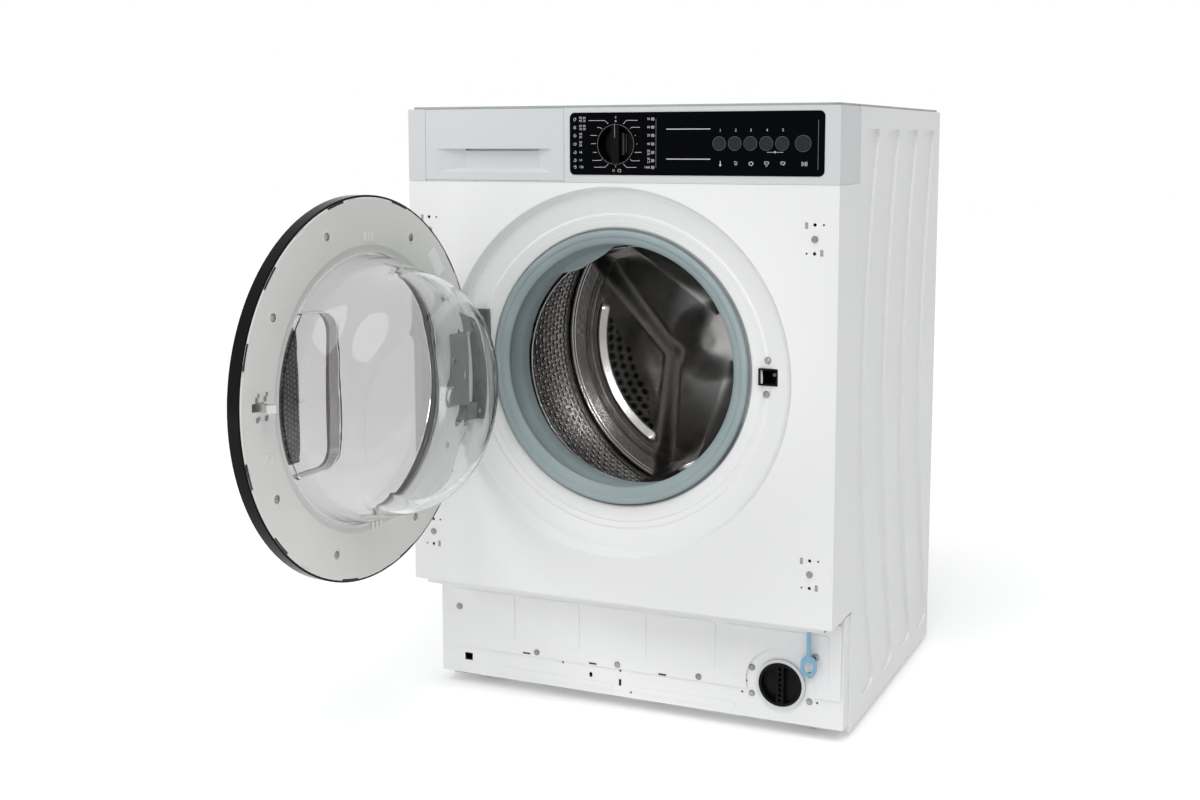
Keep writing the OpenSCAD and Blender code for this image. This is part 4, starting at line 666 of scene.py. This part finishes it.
def grip_mesh():
    """The mesh in the finger pocket, out to the pocket's round edge."""
    edge, low, high, left, steps = 165.5, 404.5, 558.5, 108.5, 32
    outline = [(left, low), (left, high)]
    for k in range(steps + 1):
        z = high + (low - high) * k / steps
        outline.append((math.sqrt(edge ** 2 - (z - AXIS_Z) ** 2), z))
    bm = bmesh.new()
    prism(bm, outline[::-1], -12.95, -12.6, DOOR)
    piece("grip_mesh", bm, "mesh_grip", "door", False)


def blank_label():
    """A sticker of 18 by 39 mm on the inner frame."""
    centre, turn = (-151, 0, 620), math.radians(35)
    bm = bmesh.new()
    plate(bm, 0, 0, 9, 19.5, 1.5, FRAME_Y, 9.2,
          DOOR @ Matrix.Translation(Vector(centre) * MM) @ Matrix.Rotation(turn, 4, "Y"))
    piece("blank_label", bm, "sticker", "door", False)


DOOR_SCREWS = [on_circle(203, a) for a in (31, 68.5, 118, 150, 210, 242, 290, 330)] + [(186.5, 420)]
DIMPLE = [(8.4, FRAME_Y), (7.6, 9.25), (6.9, 9.5), (6.2, 9.3), (5.4, 9.06), (4.9, 9.03)]   # radius and depth
RIBS = ((2, 655), (-5.5, 655.5), (-13, 655), (-3, 300), (-11, 300), (-19, 301))            # lower ends
CLIPS = (16.4, 39.9, 75.8, 107.7, 142.5, 251.2, 281, 317.5, 343)                           # angles
LATCH_SLOTS = ((206, 491.5), (191.7, 491.4), (205.6, 468.8), (190.5, 468.8))


def frame_details():
    """Dimples round the screws, ribs, clips and small openings of the door's inner frame."""
    bm = bmesh.new()
    for x, z in DOOR_SCREWS:
        skin(bm, [[DOOR @ p for p in hoop(x, y, z, r, 40)] for r, y in smooth_line(DIMPLE, 3)])
    piece("frame_dimples", bm, "grey_frame", "door")
    bm = bmesh.new()
    for x, z in RIBS:
        plate(bm, x, z + 5.5, 1.7, 5.5, 1.4, 9.8, 10.1, DOOR)
    piece("frame_ribs", bm, "pale_frame", "door", False)
    bm = bmesh.new()
    for a in CLIPS:
        outline = [on_circle(r, a + way * d) for r, way in ((230.9, 1), (233.2, -1))
                   for d in (3.8, 1.9, 0, -1.9, -3.8)]
        prism(bm, outline, 8.6, 9.15, DOOR)
    piece("frame_clips", bm, "clip_black", "door", False)
    bm = bmesh.new()
    for x, z in LATCH_SLOTS:
        plate(bm, x, z, 2.3, 3, 0.8, FRAME_Y, 9.2, DOOR)
    piece("frame_slots", bm, "duct_plastic", "door", False)


# Cabinet: small details of its front

def drawer_ledge():
    """The edge of the fascia's opening under the shut drawer."""
    low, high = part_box("drawer_front")
    panel_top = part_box("front_panel")[1][2]
    left, right, bottom, top = low[0] / MM, high[0] / MM, panel_top / MM + 0.2, low[2] / MM - 0.25
    bm = bmesh.new()
    prism(bm, [(left, bottom), (right, bottom), (right, top), (left, top)], 0.8, 2.6)
    piece("drawer_ledge", bm, "fascia_plastic", "cabinet", False)


def plinth_details():
    """Black plates under the kick plate's lower edge: painted shade standing in for the slots' dark openings."""
    bm = bmesh.new()
    for x, z in ((-159.6, 61.4), (-57.5, 60.6), (45.8, 59.8)):
        plate(bm, x, z, 5.8, 1.1, 0.8, 65.7, 65.95, steps=3)
    piece("kick_slot_shade", bm, "clip_black", "cabinet", False)


def hinge_plate_marks():
    """Hatched marks beside the furniture hinges' holes, and the door lock's pale catch."""
    bm = bmesh.new()
    for x in (-268.5, 268.5):
        for z in (240.8, 656.5):
            for dx, dz in ((-10.5, 16.5), (9, -16.5)):
                plate(bm, x + dx, z + dz, 1.95, 3.95, 0.4, 0.25, 0.8, steps=2)
    piece("hinge_plate_marks", bm, "hatch", "cabinet", False)
    bm = bmesh.new()
    prism(bm, soft_rectangle(212.4, 474.5, 216.2, 489.5, 1.2), 31, 49)
    prism(bm, soft_rectangle(205.5, 480.5, 212.8, 484, 0.8), 38, 44)
    piece("lock_catch", bm, "pale_catch", "cabinet", False)


# Opening: seal, the bead round it and the clamp wire. The front rings stand a little above the drum's axis.

# Radius, depth and lift of the middle of the rubber
SEAL = [(180.2, 23.2, 5.6), (178.8, 22.6, 5.6), (178.0, 20.8, 5.7), (178.4, 17.6, 5.9), (177.9, 15.6, 6),
        (176, 14.5, 6), (173.8, 14.5, 6.2), (171.8, 15.1, 6.4), (171.0, 16.4, 6.5), (170.0, 16.4, 6.6),
        (166, 17.2, 7), (162.6, 18.8, 7.6), (160.6, 20.8, 8), (160.6, 22.8, 8), (161.8, 26, 8), (164, 31, 7.5),
        (165.6, 39, 7), (165.4, 48, 6.2), (164, 55, 5.2), (162, 62, 4.2), (161.2, 70, 3.4), (161, 77, 3),
        (161.2, 80.6, 3), (162.4, 81.8, 3), (163.8, 79, 3), (165.2, 68, 2.8), (168, 58, 2), (171.2, 50, 1),
        (174.8, 44, 0.3), (180, 41.5, 0), (184.4, 44.5, 0), (184.8, 50, 0), (181.5, 54.5, 0),
        (177.8, 57.8, 0), (177.6, 63.3, 0)]
# Angle and inner radius of the drain lobe's edge
LOBE_EDGE = [(96, 164), (99.3, 163.4), (105.9, 154.9), (115.1, 150.4), (123, 151.6), (133.1, 164), (136, 165.4)]
LOBE_MIDDLE, LOBE_HALF, LOBE_ROOT, LOBE_Y = 116, 20, 167, 69.6
FRONT_LIFT = 5.6      # how far the foremost rings' centre is above the axis


def squared(value, power):
    """A sine or cosine drawn out towards a square wave."""
    return math.copysign(abs(value) ** power, value)


def seal():
    """The folded rubber with its drain lobe."""
    middle = smooth_line(SEAL, 4)
    last = len(middle) - 1
    left, right = [], []
    for i, p in enumerate(middle):
        behind, ahead = neighbours(middle, i, False)
        along = ahead - behind
        side = Vector((-along.y, along.x, 0)).normalized() * (1.2 if 0 < i < last else 0.6)
        left.append(p + side)
        right.append(p - side)
    bm = bmesh.new()
    wheel(bm, left + right[::-1], 240)
    rows = []
    for angle, inner in smooth_line(LOBE_EDGE, 8):
        off = min(abs(angle - LOBE_MIDDLE) / LOBE_HALF, 1)
        thick = 1.9 * math.sqrt(1 - off ** 6) + 0.25
        row = []
        for t in turns(24):
            r = inner + (LOBE_ROOT - inner) / 2 * (1 - squared(math.cos(t), 0.4))
            y = LOBE_Y + thick * squared(math.sin(t), 0.6)
            row.append(around(r, y, math.radians(angle)))
        rows.append(row)
    close_ends(bm, skin(bm, rows))
    item = piece("seal", bm, "seal_rubber", None)
    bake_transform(item)
    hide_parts("door_seal")


def seal_collar():
    """The raised bead of sheet steel round the seal."""
    line = smooth_line([(198, 20.2, 0), (192, 21.1, 2), (186.4, 21.6, 4.8), (184, 22.0, FRONT_LIFT),
                        (182.9, 23.2, FRONT_LIFT), (182.8, 26, FRONT_LIFT)], 4)
    back = [p + Vector((0, 0.3, 0) if i < 12 else (0.4, 0, 0)) for i, p in enumerate(line)]
    bm = bmesh.new()
    wheel(bm, line + back[::-1], 240)
    piece("seal_collar", bm, "white_enamel", "cabinet")


def clamp_wire():
    """The wire that holds the seal, closed by a small coil spring."""
    start, coils, coil_r, pitch, r, y = -19.6, 38, 1.1, 1.7, 181.6, 20.3
    span = math.degrees(coils * pitch / r)
    steps, coil_steps = 240, 14
    bm = bmesh.new()
    wire = [raised(r, y, FRONT_LIFT, math.radians(start + (360 - span) * k / steps)) for k in range(steps + 1)]
    tube(bm, wire, 0.0007, 10)
    coil = []
    for k in range(coils * coil_steps + 1):
        a = math.radians(start - span * k / (coils * coil_steps))
        b = 2 * PI * k / coil_steps
        coil.append(raised(r + coil_r * math.cos(b), y + coil_r * math.sin(b), FRONT_LIFT, a))
    tube(bm, coil, 0.0004, 8)
    item = piece("clamp_wire", bm, "dull_steel", "cabinet")
    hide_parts("seal_clamp_ring")


def coil_springs():
    """The tub's four coil springs. They stretch between the top frame and the tub's lugs."""
    low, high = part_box("suspension_springs")
    radius, wire, steps, coils, end = 5.5, 1.4, 14, 52, 4
    bottom, top = low[2] / MM, high[2] / MM
    first, last = bottom + 6, 770
    count = steps * coils
    bm = bmesh.new()
    for x in (-281.5, 281.5):
        for y in (150, 350):
            path = [(0, 0, bottom), (0, 0, first - end)]
            for k in range(count + 1):
                r = radius * ease(min(k, count - k), 0, steps)
                a = 2 * PI * k / steps
                path.append((r * math.cos(a), r * math.sin(a), first + (last - first) * k / count))
            path += [(0, 0, last + end), (0, 0, top)]
            tube(bm, [Vector((x + px, y + py, pz)) * MM for px, py, pz in path], wire * MM, 8)
    item = piece("coil_springs", bm, "bright_steel", None)
    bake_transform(item)
    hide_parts("suspension_springs")


# Drum: the mouth's rolled edge and the pressed back

def mouth_lip():
    """The rolled edge of the drum's mouth."""
    lip = [(169.2, 93.5), (165, 92.4), (162, 91), (160.4, 89.8), (159.6, 90.4), (159.8, 91.8), (161.6, 92.8),
           (165, 94.2), (169, 95.2)]
    bm = bmesh.new()
    wheel(bm, smooth_line([(r, y, 0) for r, y in lip], 4), 200)
    piece("mouth_lip", bm, "bright_steel", "drum")


BACK_Y, BACK_R = 376, 238.6
ARM_ANGLES = (18, 138, 258)
ARM_HEIGHT, ARM_REACH, ARM_HALF, ARM_TAPER = 9, 213, 54, 21 / 175
HUB_R, HUB_HEIGHT, HUB_DOME = 40, 7.0, (8, 64)
BEAD_ANGLE, BEAD_HEIGHT, BEAD_OUT, BEAD_IN = 82, 4.6, 192, 174.5
RINGS = (201.5, 205.5, 209.5)
EDGE_R = 233.5


def bell(value, centre, half):
    """1 at the centre, falling to 0 at half a width from it."""
    return math.cos(min(abs(value - centre) / half, 1) * PI / 2)


def back_height(r, angle):
    """How far the back's pressed forms stand out at a place: star, beads, rings, rim and hub."""
    inside = -99.0    # how far a place lies inside the star's outline
    for arm in ARM_ANGLES:
        t = math.radians(angle - arm)
        along, across = r * math.cos(t), abs(r * math.sin(t))
        if along >= 0:
            inside = max(inside, min(ARM_HALF - ARM_TAPER * (along - 30) - across, ARM_REACH - along))
    if r < HUB_R:
        inside = max(inside, 20.0)
    height = ARM_HEIGHT * ease(inside, -22, 20)
    between = abs((angle - BEAD_ANGLE + 60) % 120 - 60)
    bead = ease(BEAD_OUT - r, 0, 5) * min(max(r - BEAD_IN, 0) / 12.5, 1)
    height += BEAD_HEIGHT * bead * (1 - ease(between, 34, 40))
    height += 3.5 * bell(r, EDGE_R, 4.5)
    for ring in RINGS:
        height += 0.9 * bell(r, ring, 1.9) * (1 - ease(inside, -8, 0))
    return height + HUB_HEIGHT * (1 - ease(r, *HUB_DOME))


def drum_back_plate():
    rings, steps = 170, 432
    bm = bmesh.new()
    rows = []
    for r in (BACK_R * (1 - k / rings) for k in range(rings)):
        rows.append([around(r, BACK_Y - back_height(r, math.degrees(a)), a) for a in turns(steps)])
    made = skin(bm, rows)
    bm.faces.new(made[-1])
    item = piece("drum_back_plate", bm, "drum_back_steel_painted_shade", "drum")
    shell = item.modifiers.new("sheet", "SOLIDIFY")
    shell.thickness = 0.001
    shell.offset = 1 if item.data.polygons[-1].normal.y > 0 else -1
    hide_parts("drum_back")


# Control panel: print on the glass, the knob's details, and thin grey rings round the buttons as painted
# highlight of their rims

PANEL_Y = -0.7
PRINT_Y = (PANEL_Y - 0.06, PANEL_Y - 0.01)    # front and back of the print
KNOB_X, KNOB_Z = 6.3, 770.5
BUTTON_Z = 771.4
BUTTONS = [(145.3, 8), (165.5, 8), (185.7, 8), (205.9, 8), (226.1, 8), (252.4, 9.5)]   # place and radius


def stroke(bm, points, width, closed=False):
    """A printed line of even width on the glass, through points in X and Z."""
    points = [Vector(p) for p in points]
    front, back = PRINT_Y
    rows = []
    for i, p in enumerate(points):
        behind, ahead = neighbours(points, i, closed)
        along = (ahead - behind).normalized()
        side = Vector((-along.y, along.x)) * width / 2
        corners = ((p + side, front), (p - side, front), (p - side, back), (p + side, back))
        rows.append([Vector((v.x, y, v.y)) * MM for v, y in corners])
    if closed:
        skin(bm, rows + rows[:1])
    else:
        close_ends(bm, skin(bm, rows))


def ring_points(x, z, r, start=0, end=360, steps=20):
    return [on_circle(r, start + (end - start) * k / steps, x, z) for k in range(steps + 1)]


def letters(bm, text, x, z, size, align="LEFT"):
    curve = bpy.data.curves.new("print", "FONT")
    curve.body = text
    curve.size = size * MM
    curve.align_x = align
    curve.align_y = "CENTER"
    curve.extrude = 0.025 * MM
    curve.resolution_u = 3
    item = bpy.data.objects.new("print", curve)
    bpy.context.collection.objects.link(item)
    bpy.context.view_layer.update()
    data = bpy.data.meshes.new_from_object(item)
    place = Vector((x, PANEL_Y - 0.035, z)) * MM
    data.transform(Matrix.Translation(place) @ Matrix.Rotation(PI / 2, 4, "X"))
    bm.from_mesh(data)
    bpy.data.objects.remove(item)
    bpy.data.meshes.remove(data)
    bpy.data.curves.remove(curve)


# Lines from the numbers to the knob
LEADERS = [
    [(-31.3, 800.6), (-8.8, 800.5), (-3.9, 796.2)], [(-19.4, 791.9), (-15.7, 791.9), (-12.6, 790.2)],
    [(-28.8, 781.8), (-19.8, 781.8)], [(-27.8, 771.4), (-21.1, 771.4)], [(-25.1, 760.4), (-19.8, 760.4)],
    [(-26.1, 750.2), (-14.5, 750.2), (-12.6, 751.8)], [(-24.1, 741.6), (-8.3, 741.7), (-3.9, 745.9)],
    [(36.4, 800.4), (21.0, 800.5), (16.8, 796.1)], [(39.7, 791.7), (28.1, 791.8), (26.3, 790.0)],
    [(32.6, 781.5), (33.8, 781.5)], [(34.8, 770.9), (36.0, 770.9)], [(41.8, 760.5), (32.4, 760.5)],
    [(39.5, 750.0), (28.2, 749.9), (26.3, 752.1)], [(35.0, 741.7), (21.4, 741.6), (16.9, 746.0)],
    [(6.3, 744.2), (6.3, 741.3)],
]
LEFT_WORDS = [("90 60", "40 30"), ("60 40", "30 20"), ("40", "30"), ("30", "20"), ("44",), ("14",), ("120",)]
RIGHT_WORDS = [("90",), ("60",), ("20",), ("40",), ("30", "20"), ("30", "14"), ("1400",)]
ROW_Z = [802.0, 791.8, 781.6, 771.0, 760.4, 750.3, 741.7]


def dial_print(bm):
    """Leaders, plain numbers and small signs round the knob."""
    for line in LEADERS:
        stroke(bm, line, 0.55)
    for column, x, align in ((LEFT_WORDS, -44.8, "LEFT"), (RIGHT_WORDS, 53.4, "RIGHT")):
        for words, z in zip(column, ROW_Z):
            for k, word in enumerate(words):
                letters(bm, word, x, z + (1.9 - 3.8 * k if len(words) > 1 else 0), 4.1, align)
    clock_x, box_x = -50.6, 57.0
    for k, z in enumerate(ROW_Z):
        stroke(bm, ring_points(clock_x, z, 1.75, 40 * k, 40 * k + 300), 0.55)
        stroke(bm, [(clock_x, z), (clock_x + 1.3, z + 0.9)], 0.6)
        stroke(bm, soft_rectangle(box_x - 1.7, z - 1.5, box_x + 1.7, z + 1.5, 0.6, 2), 0.5, True)
        stroke(bm, ring_points(box_x, z, 0.7), 0.45)
    letters(bm, "0", KNOB_X, 804.4, 4.2, "CENTER")
    stroke(bm, ring_points(KNOB_X, 799.6, 0.9), 0.5)
    letters(bm, "15", 3.2, 737.4, 4.1, "CENTER")
    stroke(bm, soft_rectangle(9.4, 735.9, 13.4, 739.1, 0.6, 2), 0.5, True)


def button_print(bm):
    """Numbers over the buttons, and the plain signs under them."""
    for k, x in enumerate((146.6, 166.7, 186.2, 206.8, 227.0)):
        letters(bm, str(k + 1), x, 787.4, 5.0, "CENTER")
    stroke(bm, [(206.9, 760.8), (227.6, 760.8)], 0.5)
    stroke(bm, ring_points(217.3, 760.9, 0.75), 1.2)
    z = 746.9
    x = 146.9    # thermometer
    stroke(bm, [(x, z + 3.1), (x, z - 0.8)], 1.0)
    stroke(bm, ring_points(x, z - 1.9, 0.9), 1.0)
    x = 166.7    # spiral
    spiral = [0.3 + 2.5 * k / 44 for k in range(45)]
    stroke(bm, [(x + r * math.cos(r * 3.1), z + r * math.sin(r * 3.1)) for r in spiral], 0.55)
    x = 186.7    # wavy ring
    ring = [(t, 0.35 * math.cos(5 * t)) for t in turns(48)]
    stroke(bm, [(x + (2.6 + w) * math.cos(t), z + (2.0 + w) * math.sin(t)) for t, w in ring], 0.75, True)
    for x, start, end in ((206.6, 200, 340), (227.3, -20, 160)):    # box over a bow
        stroke(bm, soft_rectangle(x - 2.7, z - 0.4, x + 2.7, z + 2.4, 0.9, 3), 0.7, True)
        stroke(bm, ring_points(x, z - 1.8, 1.2, start, end), 0.6)
    x = 254.2    # start and pause
    stroke(bm, [(x - 3.0, z + 2.4), (x + 0.2, z), (x - 3.0, z - 2.4)], 0.8)
    for dx in (-3.0, 3.2, 1.2):
        stroke(bm, [(x + dx, z + 2.6), (x + dx, z - 2.6)], 0.8)


def panel_print():
    bm = bmesh.new()
    dial_print(bm)
    button_print(bm)
    stroke(bm, [(75.4, 789.3), (133.6, 789.3)], 1.1)
    stroke(bm, [(75.4, 752.3), (133.8, 752.3)], 1.1)
    piece("panel_print", bm, "white_print", "cabinet", False)
    bm = bmesh.new()
    stroke(bm, [(61.3, 741), (61.3, 802)], 0.4)
    stroke(bm, [(271.2, 740), (271.2, 799.5)], 0.4)
    piece("panel_lines", bm, "grey_print", "cabinet", False)


def knob_details():
    """Pointer line of the programme knob, with grey strips on its flank and a thin grey ring on its rim as
    painted highlights.
    """
    bm = bmesh.new()
    prism(bm, [(5.4, 779), (6.2, 779), (6.2, 796.5), (5.4, 796.5)], -3.16, -3.02)
    piece("knob_pointer", bm, "grey_print", "knob", False)
    bm = bmesh.new()
    # Two thin lighter strips on the bar's right flank: painted highlight.
    prism(bm, soft_rectangle(12.95, 757, 13.7, 785, 0.35, 3), 6.2, 11)
    prism(bm, soft_rectangle(15.2, 760, 15.9, 783, 0.3, 3), 11.6, 12.7)
    piece("knob_painted_highlight", bm, "painted_highlight_grey", "knob", False)
    bm = bmesh.new()
    # Thin grey ring at the knob's lip: painted highlight of its edge.
    tube(bm, hoop(KNOB_X, -1.25, KNOB_Z, 25.1, 90), 0.00022, 8, True)
    piece("knob_rim_painted_highlight", bm, "grey_print", "knob")


def button_rims_painted_highlight():
    # Thin glossy rings round the buttons: a lighter grey as painted highlight of the bevels, with real
    # reflections from the shader.
    bm = bmesh.new()
    for x, r in BUTTONS:
        tube(bm, hoop(x, PANEL_Y - 0.15, BUTTON_Z, r + 0.35, 64), 0.0003, 8, True)
    piece("button_rims_painted_highlight", bm, "painted_highlight_grey", "cabinet")


for build in (glass_bowl, grip_mesh, blank_label, frame_details, drawer_ledge, plinth_details, hinge_plate_marks,
              seal, seal_collar, clamp_wire, coil_springs, mouth_lip, drum_back_plate, panel_print,
              knob_details, button_rims_painted_highlight):
    build()
